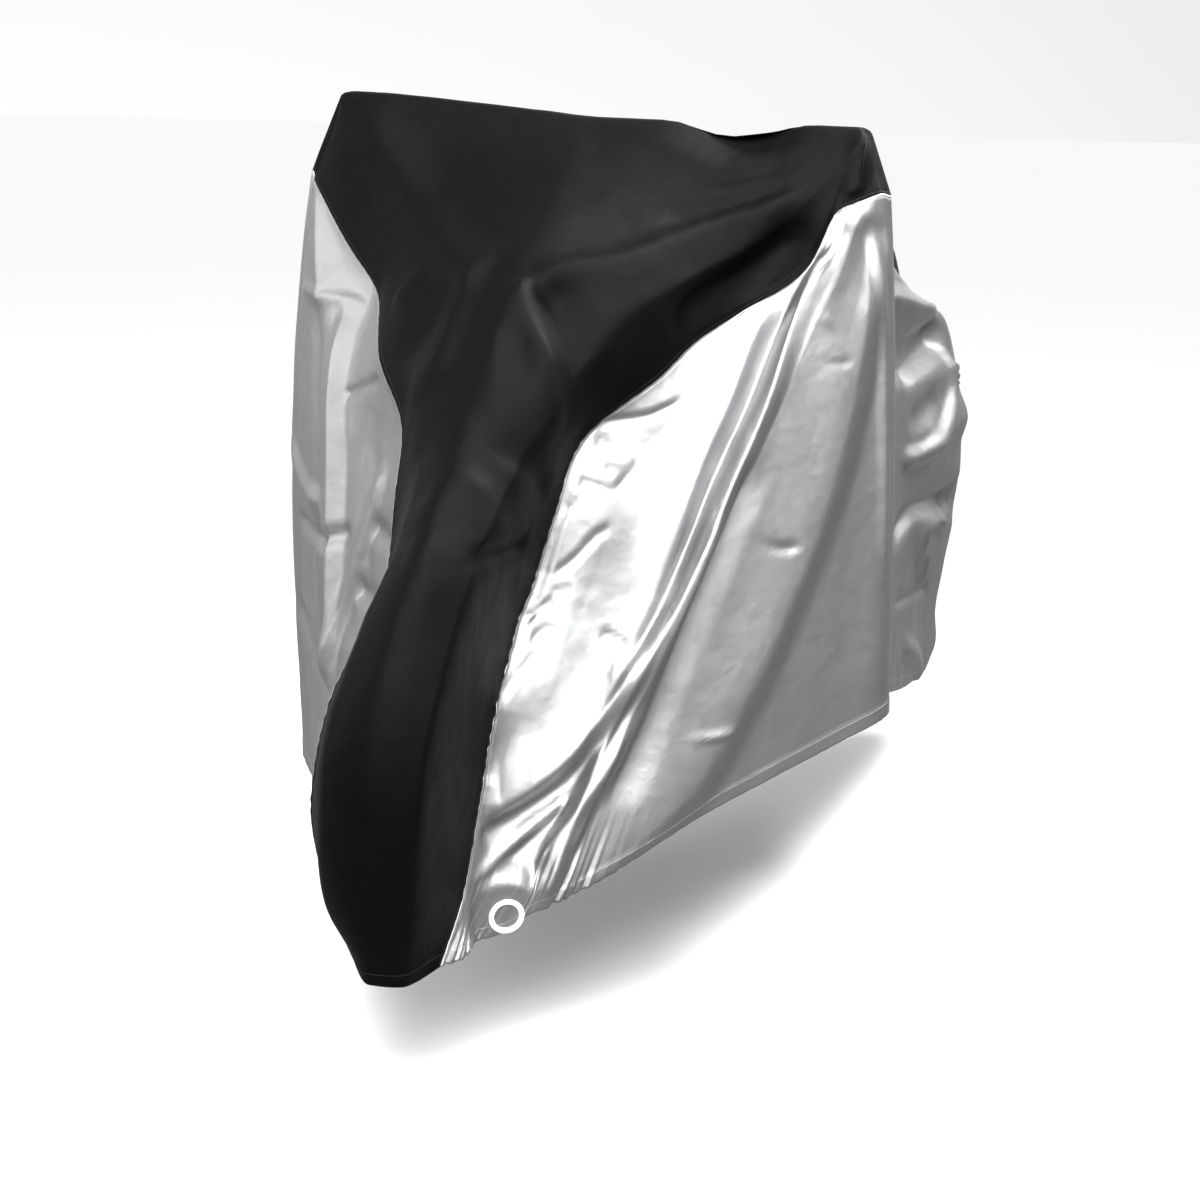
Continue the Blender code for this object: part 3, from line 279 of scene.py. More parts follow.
BLACK_FOLDS = {
    "stem left": fold(0.007, 0.04, 0.03, 0.5, 0.05, 0.1,
        (7.85, -0.04), (7.34, 0.0), (7.02, 0.03), (6.53, 0.18), (6.2, 0.45)),
    "stem right": fold(0.008, 0.03, 0.022, 0.6, 0.02, 0.08,
        (7.85, 0.0), (7.45, 0.1), (7.15, 0.25), (6.88, 0.35), (6.6, 0.55)),
    "stem valley": fold(-0.015, 0.03, 0.055, 0.1, 0.03, 0.08,
        (7.92, 0.12), (7.6, 0.22), (7.3, 0.37), (7.0, 0.55), (6.7, 0.8)),
    "left crease": fold(0.01, 0.05, 0.025, 0.5, 0.03, 0.06,
        (7.9, 0.02), (8.0, 0.15), (8.34, 0.27), (8.9, 0.33), (9.28, 0.41), (9.63, 0.44)),
    "grip wrinkle": fold(-0.006, 0.018, 0.014, 0.3, 0.05, 0.05,
        (8.8, 0.25), (9.2, 0.32), (9.59, 0.42)),
    "bar wrinkle": fold(-0.007, 0.018, 0.016, 0.2, 0.05, 0.05,
        (9.3, 0.22), (9.6, 0.32), (9.95, 0.37)),
    "right crease": fold(0.012, 0.05, 0.05, 0.3, 0.03, 0.08,
        (7.95, -0.15), (8.2, -0.3), (8.86, -0.35), (9.6, -0.39), (10.4, -0.44)),
    "left pocket": fold(-0.016, 0.035, 0.032, 0.1, 0.04, 0.05,
        (8.2, 0.8), (8.58, 0.735), (8.99, 0.75), (9.28, 0.7), (9.47, 0.66)),
    "facet side": fold(0.008, 0.04, 0.03, 0.5, 0.03, 0.05,
        (8.05, -0.22), (7.57, -0.27), (7.02, -0.3), (6.67, -0.53)),
    "facet": fold(-0.01, 0.04, 0.04, 0.0, 0.05, 0.06, (8.15, -0.35), (7.75, -0.55), (7.34, -0.75)),
    "facet top": fold(0.007, 0.025, 0.03, 0.5, 0.03, 0.03,
        (8.22, -0.36), (8.22, -0.6), (8.3, -0.84)),
    "tyre wedge": fold(-0.004, 0.022, 0.03, 0.2, 0.05, 0.04,
        (6.16, 0.03), (6.09, 0.37), (6.09, 0.88)),
    "tyre top": fold(0.004, 0.03, 0.025, 0.3, 0.05, 0.05,
        (5.74, -0.22), (5.55, 0.27), (5.32, 0.55)),
    "tyre dent": fold(-0.008, 0.015, 0.02, 0.3, 0.03, 0.03,
        (4.5, 0.42), (4.86, 0.66), (5.39, 0.86)),
    "tyre side": fold(0.006, 0.03, 0.05, 0.5, 0.03, 0.05,
        (4.95, 0.05), (4.5, 0.13), (4.14, 0.25), (3.89, 0.37)),
    "bar dip": fold(-0.018, 0.08, 0.06, 0.0, 0.03, 0.05,
        (12.3, 0.24), (11.0, 0.25), (10.3, 0.28), (9.7, 0.34)),
    "grip crease": fold(0.007, 0.022, 0.016, 0.5, 0.04, 0.01,
        (11.0, 0.5), (10.75, 0.7), (10.45, 0.97)),
    "saddle dip": fold(-0.014, 0.06, 0.06, 0.0, 0.1, 0.1, (12.7, 0.0), (13.6, 0.0), (14.4, 0.0)),
}

# Small wrinkles and the rear's crumpled cloth, which only the fine surface has.
LEFT_WRINKLES = {
    "seam 1": fold(-0.004, 0.009, 0.009, 0.4, 0.01, 0.02,
        (0.004, 0.395), (0.033, 0.376), (0.051, 0.358), (0.064, 0.321)),
    "seam 2": wrinkle(-0.003, 0.008, (0.013, 0.407), (0.038, 0.413), (0.053, 0.419)),
    "seam 3": fold(0.0035, 0.009, 0.009, 0.3, 0.01, 0.01,
        (0.036, 0.432), (0.06, 0.425), (0.071, 0.419)),
    "seam 4": wrinkle(-0.0035, 0.009,
        (0.018, 0.462), (0.047, 0.462), (0.064, 0.456), (0.071, 0.432)),
    "seam 5": wrinkle(-0.003, 0.008, (0.007, 0.499), (0.036, 0.481)),
    "fan 1": wrinkle(-0.004, 0.009, (0.027, 0.567), (0.047, 0.542), (0.06, 0.512), (0.071, 0.499)),
    "fan 2": wrinkle(-0.003, 0.008, (0.027, 0.586), (0.058, 0.579)),
    "fan 3": wrinkle(-0.0035, 0.008, (0.009, 0.623), (0.027, 0.604), (0.044, 0.592)),
    "fan 4": wrinkle(-0.003, 0.008, (0.024, 0.647), (0.042, 0.629), (0.06, 0.635)),
    "crest": wrinkle(-0.004, 0.01, (0.093, 0.616), (0.12, 0.635), (0.133, 0.653)),
    "low": wrinkle(-0.003, 0.01, (0.002, 0.715), (0.027, 0.672), (0.044, 0.66)),
    "tongue": fold(0.003, 0.01, 0.01, 0.3, 0.02, 0.02, (0.171, 0.166), (0.243, 0.203)),
    "edge line": fold(0.004, 0.014, 0.014, 0.3, 0.05, 0.1,
        (0.302, 0.031), (0.369, 0.185), (0.397, 0.37), (0.417, 0.758)),
    "blade": fold(0.006, 0.02, 0.03, 0.5, 0.01, 0.08,
        (0.06, 0.03), (0.11, 0.066), (0.12, 0.105), (0.135, 0.146), (0.15, 0.2)),
    "blade side": fold(-0.009, 0.05, 0.032, 0.1, 0.03, 0.2,
        (0.255, 0.025), (0.285, 0.08), (0.285, 0.125), (0.28, 0.175), (0.275, 0.218),
        (0.265, 0.31)),
    "pillow swell": fold(0.007, 0.07, 0.014, 0.0, 0.05, 0.08,
        (0.118, 0.42), (0.126, 0.52), (0.128, 0.6), (0.12, 0.7)),
    "rear hollow": fold(-0.018, 0.05, 0.04, 0.4, 0.03, 0.03,
        (0.95, 0.2), (0.877, 0.265), (0.8, 0.32)),
    "rear arc": fold(0.015, 0.02, 0.026, 0.3, 0.04, 0.02,
        (0.93, 0.26), (0.905, 0.351), (0.859, 0.444), (0.82, 0.487), (0.785, 0.495)),
    "rear pocket": fold(-0.008, 0.03, 0.03, 0.1, 0.03, 0.03,
        (0.8, 0.425), (0.83, 0.41), (0.865, 0.37)),
    "rear shelf": fold(-0.018, 0.055, 0.022, 0.4, 0.03, 0.05,
        (0.93, 0.62), (0.87, 0.612), (0.815, 0.61), (0.785, 0.645), (0.768, 0.7)),
    "rear flap": fold(0.015, 0.035, 0.02, 0.5, 0.02, 0.03,
        (0.899, 0.66), (0.831, 0.653), (0.831, 0.721), (0.837, 0.789)),
    "rear line": fold(-0.006, 0.015, 0.02, 0.4, 0.02, 0.02,
        (0.77, 0.8), (0.82, 0.795), (0.871, 0.789)),
    "rear foot": fold(0.008, 0.03, 0.03, 0.2, 0.03, 0.0, (0.785, 0.9), (0.83, 0.93), (0.87, 0.98)),
}
RIGHT_WRINKLES = {
    "high cross": fold(0.004, 0.012, 0.02, 0.5, 0.03, 0.02,
        (0.36, 0.17), (0.2, 0.165), (0.09, 0.175), (0.05, 0.2)),
    "dash": fold(-0.0045, 0.01, 0.012, 0.4, 0.01, 0.01,
        (0.107, 0.314), (0.06, 0.318), (0.031, 0.327)),
    "cross": fold(-0.006, 0.015, 0.02, 0.4, 0.03, 0.02,
        (0.369, 0.549), (0.24, 0.52), (0.107, 0.499)),
    "boundary": fold(0.007, 0.02, 0.03, 0.3, 0.03, 0.05,
        (0.049, 0.438), (0.107, 0.567), (0.2, 0.74), (0.33, 0.9)),
    "facet 1": fold(-0.006, 0.02, 0.02, 0.3, 0.01, 0.01,
        (0.071, 0.499), (0.04, 0.53), (0.009, 0.561)),
    "facet 2": fold(-0.006, 0.02, 0.02, 0.3, 0.01, 0.01,
        (0.098, 0.567), (0.06, 0.59), (0.018, 0.616)),
}
SILVER_FOLDS = {LEFT: (LEFT_FOLDS, REAR_FOLDS), RIGHT: (RIGHT_FOLDS, REAR_FOLDS)}
WRINKLES = {LEFT: (LEFT_WRINKLES,), RIGHT: (RIGHT_WRINKLES,)}
PATH_POINTS = 40             # points along a fold's path

# ------------------------------------------------------------------ looks
FINE_CLOTH = 0.0009          # thickness of the cloth as shown
FINE_HEM = 0.0022            # and of its hem
HEM_BAND = 0.018             # depth of the hem
HEM_STEP = 0.0015            # length over which it thins to the cloth
# Steps of the grids: from, to, number of cells.
ALONG_FINE = ((0.0, 0.20, 90), (0.20, 0.46, 66), (0.46, 0.985, 92), (0.985, 1.0, 3))
DOWN_FINE = ((0.0, 0.90, 146), (0.90, 1.0, 30))
ACROSS_FINE = 100            # cells across the black panel
ACROSS_EDGE = 1.15           # crowds its lines towards its seams
RING_TURN = 96               # steps round a ring
ROUND_STEPS = 8              # and round the edges of its section
RING_ROUND = (0.0012, 0.0010)              # rounding of a flange's rim, out and up
RING_LIP = 0.0016            # rounding into the bore
RING_RAISE = 0.0002          # the rim's rounding stands this far up from the groove
RING_INSET, RING_SINK = 0.0003, 0.0006     # the flange's underside, inwards and down

# Depth of the seam's puckers: section, depth.
PUCKERS = ((0.0, 0.0004), (1.5, 0.0006), (2.6, 0.0016), (4.3, 0.0018), (5.0, 0.0012),
           (6.5, 0.0008), (8.0, 0.0006), (10.6, 0.0004), (12.0, 0.0005), (19.0, 0.0006))
PUCKER_SIDE = {LEFT: 1.0, RIGHT: 0.7}
PUCKER_WAVE = 0.015          # from one pucker to the next
PUCKER_REACH = 0.016         # how far from the stitches they fade
TAIL_PUCKER = 0.0002
HEM_PUCKER = 0.0006
CRINKLE_WAVE = 0.013         # crinkles of the hem beside an eyelet
CRINKLE_DEPTH = 0.0034
CRINKLE_END, CRINKLE_FADE = 0.16, 0.10     # shares along the panel
CRUMPLE_DEPTH = 0.0008       # soft waves all over the cloth
CRUMPLE_SIZE = 0.070
CRUMPLE_WAVES = 5
CRUMPLE_TURN = 2.4           # from one wave's way to the next one's, in radians
CRUMPLE_TILT = (0.6, 1.7)    # how steeply the ways rise, and how that changes
CRUMPLE_GROWTH = (0.8, 0.15)               # size of the first wave, and growth to the next
CRUMPLE_BEND = (2.0, 2.3, 0.5)             # how far a wave's crest bends, how slowly, its tilt
CRUMPLE_CALM = 0.02          # share along or down over which they fade to the seams
CRUMPLE_TAIL = 0.03          # and to the tail
EYELET_CALM = 0.85           # share of the small waves that an eyelet flattens
# An uneven wave wanders: how far, how slowly, and its share of the seed.
WANDER = ((1.3, 0.23, 1.0), (0.7, 0.41, 2.1))
SWELL = (0.65, 0.35, 0.31, 1.7)            # its mean height, then the same three

SEAM_ROW = 0.004             # distance of the stitches from the seam
HEM_ROW = 0.016              # and from the hem's edge
STITCH_WIDTH = 0.0008
STITCH_PITCH = 0.0035
STITCH_DASH = (0.12, 0.88, 0.06)           # a stitch's start, end and soft ends
WEAVE_PITCH = 0.0009
BANDS_PER_METRE = 0.314      # a wave texture's scale for one band in a metre
PATCHES, GRAIN, SOFT, SMALL = 5.0, 140.0, 11.0, 38.0       # scales of the cloth's noise

# Each sheet's CAD nodes, material slot and flat width and length.
SHEETS = {
    "black": (("panel_black",), "black_polyester", (0.72, 1.75)),
    "silver_left": (("panel_silver_left", "eyelet_strip_left"), "silver_polyester", (1.45, 0.86)),
    "silver_right": (("panel_silver_right", "eyelet_strip_right"), "silver_polyester",
                     (1.45, 0.95)),
}

BLACK = (0.0011, 0.0011, 0.0012)
BLACK_THREAD = (0.02, 0.02, 0.02)
BLACK_LOOK = {"patch": 0.15, "grain": 0.20, "rough": 0.50, "rough spread": 0.08,
              "metallic": 0.0, "specular": 0.042, "sheen": 0.002}
SILVER = (0.27, 0.273, 0.277)
SILVER_THREAD = (0.50, 0.50, 0.50)
SILVER_LOOK = {"patch": 0.06, "grain": 0.06, "rough": 0.42, "rough spread": 0.06,
               "metallic": 0.95, "specular": 0.5, "sheen": 0.0}
GROOVE = (0.0015, 0.001)     # half width of the groove under the stitches, and its soft edge
WEAVE_TURN = (0.3, 0.2, 0.7)               # the threads' ways, in radians round X, Y and Z
WEAVE_WANDER = 0.4           # how far the threads wander
BUMPS = {"soft": 0.004, "small": 0.0012, "weave": 0.0001, "groove": 0.0003, "stitch": 0.0004}
RING_COLOUR = (0.86, 0.86, 0.85)
RING_LOOK = {"dirt": 60.0, "dirt shade": 0.10, "rough": 0.32, "rough spread": 0.2,
             "grain": 900.0, "bump": 0.00005}

FLOOR_Z = -0.984
FLOOR_RADIUS = 40.0
FLOOR_SHADE = 0.86
FLOOR_PATCHES = (2.0, 0.02)  # scale and strength of its faint patches
# Painted glow: the floor itself gives off light further off, from and up to a distance, and how
# brightly.
FLOOR_PAINTED_GLOW = (1.4, 5.0, 0.34)
LIT_POINT = (0.05, 0.03, -0.45)
# azimuth, elevation, distance, size, power, spread in degrees
SOFT_BOXES = {
    "key": (34.0, 48.0, 3.0, 2.2, 84.0, 90.0),
    "side": (72.0, 20.0, 3.0, 1.2, 2.5, 60.0),
    "rear": (160.0, 50.0, 3.0, 1.2, 22.0, 60.0),
    "fill": (-55.0, 25.0, 3.0, 1.5, 7.0, 80.0),
    "top": (50.0, 80.0, 3.0, 1.5, 12.0, 60.0),
}
# surround: height of the direction, from -1 below to 1 above, and brightness
SURROUND = ((-0.06, 0.50), (-0.03, 1.0), (0.25, 0.85), (1.0, 0.60))
# the side of the surround that is darker: azimuth, share taken away, narrowness
DARK_SIDE = (155.0, 0.5, 4.0)
CAMERA_PLACE = (2.0044, 1.4231, 0.0590)
CAMERA_AZIMUTH = 214.97
CAMERA_PITCH = -14.0
CAMERA_ROLL = 1.33
LENS, SENSOR = 63.42, 36.0
SIGHT = 200.0                # how far the camera sees


# --------------------------------------------------------------- surfaces
def smooth(x):
    """0 below 0, 1 above 1, and an even rise between."""
    x = np.clip(x, 0.0, 1.0)
    return x * x * (3 - 2 * x)


def lengths(vectors):
    """Length of each vector, as a column."""
    return np.linalg.norm(vectors, axis=-1, keepdims=True)


def unit(vectors):
    """The vectors at length 1."""
    return vectors / np.maximum(lengths(vectors), 1e-12)


def spline(rows, x):
    """A smooth curve through the rows, read at the row numbers x."""
    rows = np.asarray(rows, float)
    last = len(rows) - 1
    x = np.clip(np.asarray(x, float), 0, last)
    first = np.minimum(x.astype(int), last - 1)
    p1, p2 = rows[first], rows[first + 1]
    p0 = np.where((first > 0)[..., None], rows[first - 1], 2 * p1 - p2)
    p3 = np.where((first + 2 <= last)[..., None], rows[np.minimum(first + 2, last)], 2 * p2 - p1)
    f = (x - first)[..., None]
    bend = (2 * p0 - 5 * p1 + 4 * p2 - p3) * f + (3 * p1 - p0 - 3 * p2 + p3) * f * f
    return p1 + 0.5 * f * (p2 - p0 + bend)


def rounded(outline, x, corner):
    """A smooth curve through unevenly spaced points; corner, up to 1, sharpens its turns."""
    steps = np.diff(outline, axis=-2)
    gaps = np.maximum(lengths(steps), 1e-9)
    slopes = steps / gaps
    near, far = gaps[..., :-1, :], gaps[..., 1:, :]
    middle = (slopes[..., :-1, :] * far + slopes[..., 1:, :] * near) / (near + far)
    slopes = np.concatenate([slopes[..., :1, :], middle, slopes[..., -1:, :]], axis=-2)
    first = np.clip(x.astype(int), 0, outline.shape[-2] - 2)
    f = (x - first)[..., None]

    def pick(values, number):
        return np.take_along_axis(values, number[..., None, None], axis=-2)[..., 0, :]

    shortest = np.minimum(near, far) * (1 - corner)[..., None, None]
    reach = np.concatenate([gaps[..., :1, :], shortest, gaps[..., -1:, :]], axis=-2)
    start, end = pick(outline, first), pick(outline, first + 1)
    leave, arrive = pick(slopes * reach, first), pick(slopes * reach, first + 1)
    return (start * (1 + 2 * f) * (1 - f) ** 2 + leave * f * (1 - f) ** 2
            + end * f * f * (3 - 2 * f) - arrive * f * f * (1 - f))


def place(fore, side, z, steer, lean):
    """Turn a point of the tables into its place under the steering and the lean."""
    side = side + LEAN * z * lean + FRAME_SIDE * (1 - steer)
    fore, side, z, turn = np.broadcast_arrays(fore, side, z, STEER * steer)
    return np.stack([fore * np.cos(turn) - side * np.sin(turn),
                     fore * np.sin(turn) + side * np.cos(turn), z], axis=-1)


def columns(table, at):
    """The columns of a table, read between its rows."""
    return np.moveaxis(spline(list(table.values()), at), -1, 0)


def columns_at(rows, x):
    """The other columns of a table whose first one says where each row is."""
    rows = np.array(rows)
    at = np.interp(x, rows[:, 0], np.arange(len(rows)))
    return np.moveaxis(spline(rows[:, 1:], at), -1, 0)


def black_point(section, across):
    """A point of the black panel; across runs from -1, the right seam, to 1."""
    section, across = np.broadcast_arrays(np.asarray(section, float), across)
    steer, lean, mid_x, mid_z, x, half, z, seam_x, seam_half, seam_z = columns(SECTIONS, section)
    left_back, left_out, left_up, right_out, right_up, right_shoulder = columns_at(
        SEAM_PULL, section)
    on_bar = np.clip((section - BAR_START) / BAR_RISE, 0, 1)
    on_bar = on_bar * np.clip((BAR_END - section) / BAR_FALL, 0, 1)
    outline = np.stack([np.stack([seam_x, -seam_half - right_out, seam_z + right_up], -1),
                        np.stack([x, -half - right_shoulder, z], -1),
                        np.stack([mid_x, 0 * mid_x, mid_z], -1),
                        np.stack([x, half, z], -1),
                        np.stack([seam_x - left_back, seam_half + left_out, seam_z + left_up],
                                 -1)], axis=-2)
    fore, side, up = np.moveaxis(rounded(outline, 2 * (across + 1), BAR_CORNER * on_bar), -1, 0)
    up = up - BAR_TILT * side * on_bar * (1 - np.minimum(1, across * across))
    up = up + HEM_RISE[RIGHT] * smooth(-across) * (1 - smooth(section / HEM_RISE_SECTIONS))
    return place(fore, side, up, steer, lean)


def seam_point(section, hand):
    """A point of the seam between the black panel and a silver one."""
    return black_point(section, float(hand))


def hem_point(row, hand):
    """A point of a silver panel's lower hem."""
    steer, lean, fore, half, z = columns(HEM, row)
    return place(fore, hand * half, z, steer, lean)


def tail_point(row):
    """A point of the seam down the tail."""
    fore, z = columns(TAIL, row)
    return place(fore, 0 * fore, z, 0.0, 1.0)


def even_rows(curve, first, last, share):
    """Row numbers that lie at the given shares of a curve's length."""
    rows = np.linspace(first, last, CURVE_STEPS)
    steps = lengths(np.diff(curve(rows), axis=0))[:, 0]
    travelled = np.concatenate([[0.0], np.cumsum(steps)])
    return np.interp(share, travelled / travelled[-1], rows)


def front_rows(down):
    """Section numbers down the front seam, from the grip to the hem."""
    return even_rows(lambda rows: seam_point(rows, LEFT), GRIP, 0.0, down)


def tail_rows(down):
    """Row numbers down the tail, from the tongue to the hem."""
    return even_rows(tail_point, 0.0, len(TAIL) - 1.0, down)


def fan(along):
    """Section number at the seam and row number at the hem of a fan line."""
    return columns_at(list(FAN.values()), along)


def silver_point(along, down, hand):
    """A point of a silver panel, before its folds.

    along runs from the front seam, 0, to the tail, 1; down from the black
    panel or the grip, 0, to the hem, 1.
    """
    along, down = np.broadcast_arrays(np.asarray(along, float), down)
    section, row = fan(along)
    tail_top = tail_point(0.0 * along)
    top = np.where((along >= 1)[..., None], tail_top, seam_point(section, hand))
    low = hem_point(row, hand)
    corner = smooth((along - CORNER_START) / CORNER_RISE)
    corner = corner * (1 - smooth((along - CORNER_END) / CORNER_FALL))
    dip = 1 - smooth(abs(along - EYELET[hand][0]) / EYELET_DIP_WIDTH)
    low[..., 2] -= HEM_DROP[hand] * corner + EYELET_DIP * dip
    low[..., 2] += HEM_RISE[hand] * (1 - smooth(row / HEM_RISE_SECTIONS))
    share = down[..., None]
    point = top * (1 - share) + low * share

    steer = np.where(along < 0.5, *BELLY_STEER)
    outward = place(0.0, 1.0, 0.0, steer, 0.0) - place(0.0, 0.0, 0.0, steer, 0.0)
    bow = hand * EDGE_BELLY[hand] * corner * np.sin(math.pi * down ** BELLY_SHAPE)
    point = point + outward * bow[..., None]

    front = seam_point(front_rows(down), hand)
    front_chord = seam_point(GRIP, hand) * (1 - share) + seam_point(0.0, hand) * share
    rear = tail_point(tail_rows(down))
    rear_chord = tail_point(0.0) * (1 - share) + hem_point(len(HEM) - 1.0, hand) * share
    near_front = (1 - smooth(along / FRONT_REACH))[..., None]
    near_rear = (1 - smooth((1 - along) / TAIL_REACH))[..., None]
    return point + near_front * (front - front_chord) + near_rear * (rear - rear_chord)


# ------------------------------------------------------------------ folds
def grid_normals(points, hand):
    """Outward normals of a grid of points."""
    along, down = np.gradient(points, axis=0), np.gradient(points, axis=1)
    return unit(np.cross(along, down)) * -hand


def fold_height(points, normals, crest, shape):
    """How far one fold pushes each point out, from the distance to its crest."""
    height, first, second, crisp, start, end = shape
    nearest = np.full(points.shape[:-1], np.inf)
    offset = np.zeros(points.shape[:-1])
    travel = np.zeros(points.shape[:-1])
    steps = lengths(np.diff(crest, axis=0))[:, 0]
    before = np.concatenate([[0.0], np.cumsum(steps)])
    for number, step in enumerate(steps):
        line = (crest[number + 1] - crest[number]) / step
        reach = points - crest[number]
        run = np.clip(reach @ line, 0.0, step)
        apart = reach - run[..., None] * line
        distance = lengths(apart)[..., 0]
        side = np.sign(np.sum(np.cross(line, reach) * normals, axis=-1))
        closer = distance < nearest
        nearest = np.where(closer, distance, nearest)
        offset = np.where(closer, side * distance, offset)
        travel = np.where(closer, before[number] + run, travel)
    width = np.where(offset > 0, second, first)
    x = np.clip(nearest / width, 0.0, 1.0)
    profile = (1 - x) ** 2 * (1 + 2 * x * (1 - crisp))
    rise = smooth(travel / start) if start else 1.0
    fall = smooth((before[-1] - travel) / end) if end else 1.0
    return height * profile * rise * fall


def folded(points, normals, tables, crest_point):
    """Total height of all the folds of some tables over a grid of points."""
    total = np.zeros(points.shape[:-1])
    for table in tables:
        for shape, path in table.values():
            path = spline(path, np.linspace(0, len(path) - 1, PATH_POINTS))
            total += fold_height(points, normals, crest_point(*path.T), shape)
    return total


def steps(parts):
    """The lines of a grid, from its (from, to, cells) rows."""
    lines = [np.linspace(first, last, cells + 1)[:-1] for first, last, cells in parts]
    return np.concatenate(lines + [[parts[-1][1]]])


def eyelet_frame(hand):
    """Middle of an eyelet and the way it faces."""
    along, down = EYELET[hand]
    return silver_point(along, down, hand), unit(np.array(EYELET_AXIS[hand]))


def flat_share(points, hand):
    """1 where the cloth is flat round an eyelet, 0 where it has its own shape."""
    middle, axis = eyelet_frame(hand)
    reach = points - middle
    apart = lengths(reach - (reach @ axis)[..., None] * axis)[..., 0]
    return 1 - smooth((apart - EYELET_FLAT) / (EYELET_BLEND - EYELET_FLAT))


def near_hem(down):
    """0 where the gathers start, 1 at the hem."""
    return smooth((down - GATHER_TOP) / (1 - GATHER_TOP))


def silver_sheet(hand, along, down):
    """Middle surface and normals of a silver panel with its folds."""
    along, down = np.meshgrid(along, down, indexing="ij")
    points = silver_point(along, down, hand)
    normals = grid_normals(points, hand)
    heights = folded(points, normals * hand, SILVER_FOLDS[hand],
                     lambda a, d: silver_point(a, d, hand))
    heights *= smooth(down / CALM_TOP) * smooth(along / CALM_FRONT)
    heights *= smooth((1 - along) / CALM_TAIL)
    hem_part = near_hem(down) * smooth((STRIP_END + GATHER_FADE / 2 - along) / GATHER_FADE)
    gather = np.sin(2 * math.pi * GATHERS * along / STRIP_END)
    heights += GATHER_DEPTH * gather * hem_part * smooth(along / CALM_FRONT)
    points = points + normals * heights[..., None]
    middle, axis = eyelet_frame(hand)
    flat = flat_share(points, hand)[..., None]
    points = points - flat * ((points - middle) @ axis)[..., None] * axis
    return points, grid_normals(points, hand)


def black_sheet(sections, across):
    """Middle surface and normals of the black panel with its folds."""
    sections, across = np.meshgrid(sections, across, indexing="ij")
    points = black_point(sections, across)
    normals = grid_normals(points, LEFT)
    heights = folded(points, normals, (BLACK_FOLDS,), black_point)
    heights *= smooth((1 - abs(across)) / CALM_EDGE)
    points = points + normals * heights[..., None]
    return points, grid_normals(points, LEFT)


# ---------------------------------------------------------- fine details
def run_lengths(points, axis):
    """Length along one axis of a grid, from its first line."""
    steps = lengths(np.diff(points, axis=axis))[..., 0]
    start = np.zeros_like(np.take(steps, [0], axis=axis))
    return np.cumsum(np.concatenate([start, steps], axis=axis), axis=axis)


def ripple(run, wave, seed):
    """An uneven wave along a length."""
    phase = 2 * math.pi * run / wave
    wander = sum(far * np.sin(phase * slow + part * seed) for far, slow, part in WANDER)
    mean, change, slow, part = SWELL
    return (mean + change * np.sin(phase * slow + part * seed)) * np.sin(phase + wander)


def pucker(run, gap, strength, seed):
    """Puckers that a row of stitches pulls into the cloth beside a seam."""
    return strength * np.exp(-gap / PUCKER_REACH) * ripple(run, PUCKER_WAVE, seed)


def seam_strength(section):
    """How deep the puckers are at a section of the front seam."""
    return np.interp(section, *np.transpose(PUCKERS))


def crumple(points, seed):
    """Soft uneven waves over the cloth, from a few crossed ripples."""
    (steep, change), (first, growth) = CRUMPLE_TILT, CRUMPLE_GROWTH
    far, slow, tilt = CRUMPLE_BEND
    total = 0.0
    for number in range(CRUMPLE_WAVES):
        turn = seed + CRUMPLE_TURN * number
        way = np.array([math.cos(turn), math.sin(turn), steep * math.sin(change * turn)])
        other = np.array([-math.sin(turn), math.cos(turn), tilt * math.cos(turn)])
        wave, bend = CRUMPLE_SIZE * (first + growth * number), slow * CRUMPLE_SIZE
        wander = far * np.sin(2 * math.pi * (points @ other) / bend + turn)
        total = total + np.sin(2 * math.pi * (points @ way) / wave + wander)
    return total / CRUMPLE_WAVES


def fine_silver(hand, along, down):
    """Middle surface of a silver panel with all its folds, and what its stitches need."""
    points, normals = silver_sheet(hand, along, down)
    long, deep = np.meshgrid(along, down, indexing="ij")
    across_run, down_run = run_lengths(points, 0), run_lengths(points, 1)
    tail_gap = across_run[-1:, :] - across_run
    hem_gap = down_run[:, -1:] - down_run
    gap = np.minimum(across_run, down_run)
    on_side = across_run < down_run
    run = np.where(on_side, down_run[:1, :], across_run[:, :1])
    section = np.where(on_side, front_rows(down)[None, :], fan(along)[0][:, None])
    strength = seam_strength(section) * PUCKER_SIDE[hand]
    hem_run = np.broadcast_to(across_run[:, -1:], gap.shape)

    base = silver_point(long, deep, hand)
    heights = folded(base, grid_normals(base, hand) * hand, WRINKLES[hand],
                     lambda a, d: silver_point(a, d, hand))
    heights += pucker(run, gap, strength, 1.0 + hand)
    heights += pucker(down_run[-1:, :], tail_gap, TAIL_PUCKER, 3.0)
    heights += pucker(hem_run, hem_gap, HEM_PUCKER, 5.0 + hand)
    near_corner = 1 - smooth((long - CRINKLE_END) / CRINKLE_FADE)
    crinkle = ripple(hem_run, CRINKLE_WAVE, 2.0 + hand)
    heights += CRINKLE_DEPTH * near_hem(deep) * near_corner * crinkle
    calm = smooth(long / CRUMPLE_CALM) * smooth(deep / CRUMPLE_CALM)
    calm = calm * smooth((1 - long) / CRUMPLE_TAIL)
    heights += CRUMPLE_DEPTH * calm * crumple(points, 0.7 * hand + 1.0)
    heights *= 1 - EYELET_CALM * flat_share(points, hand)
    points = points + normals * heights[..., None]
    gaps = {"seam_gap": np.minimum(gap, tail_gap), "seam_run": run, "hem_gap": hem_gap,
            "hem_run": hem_run}
    return points, grid_normals(points, hand), gaps


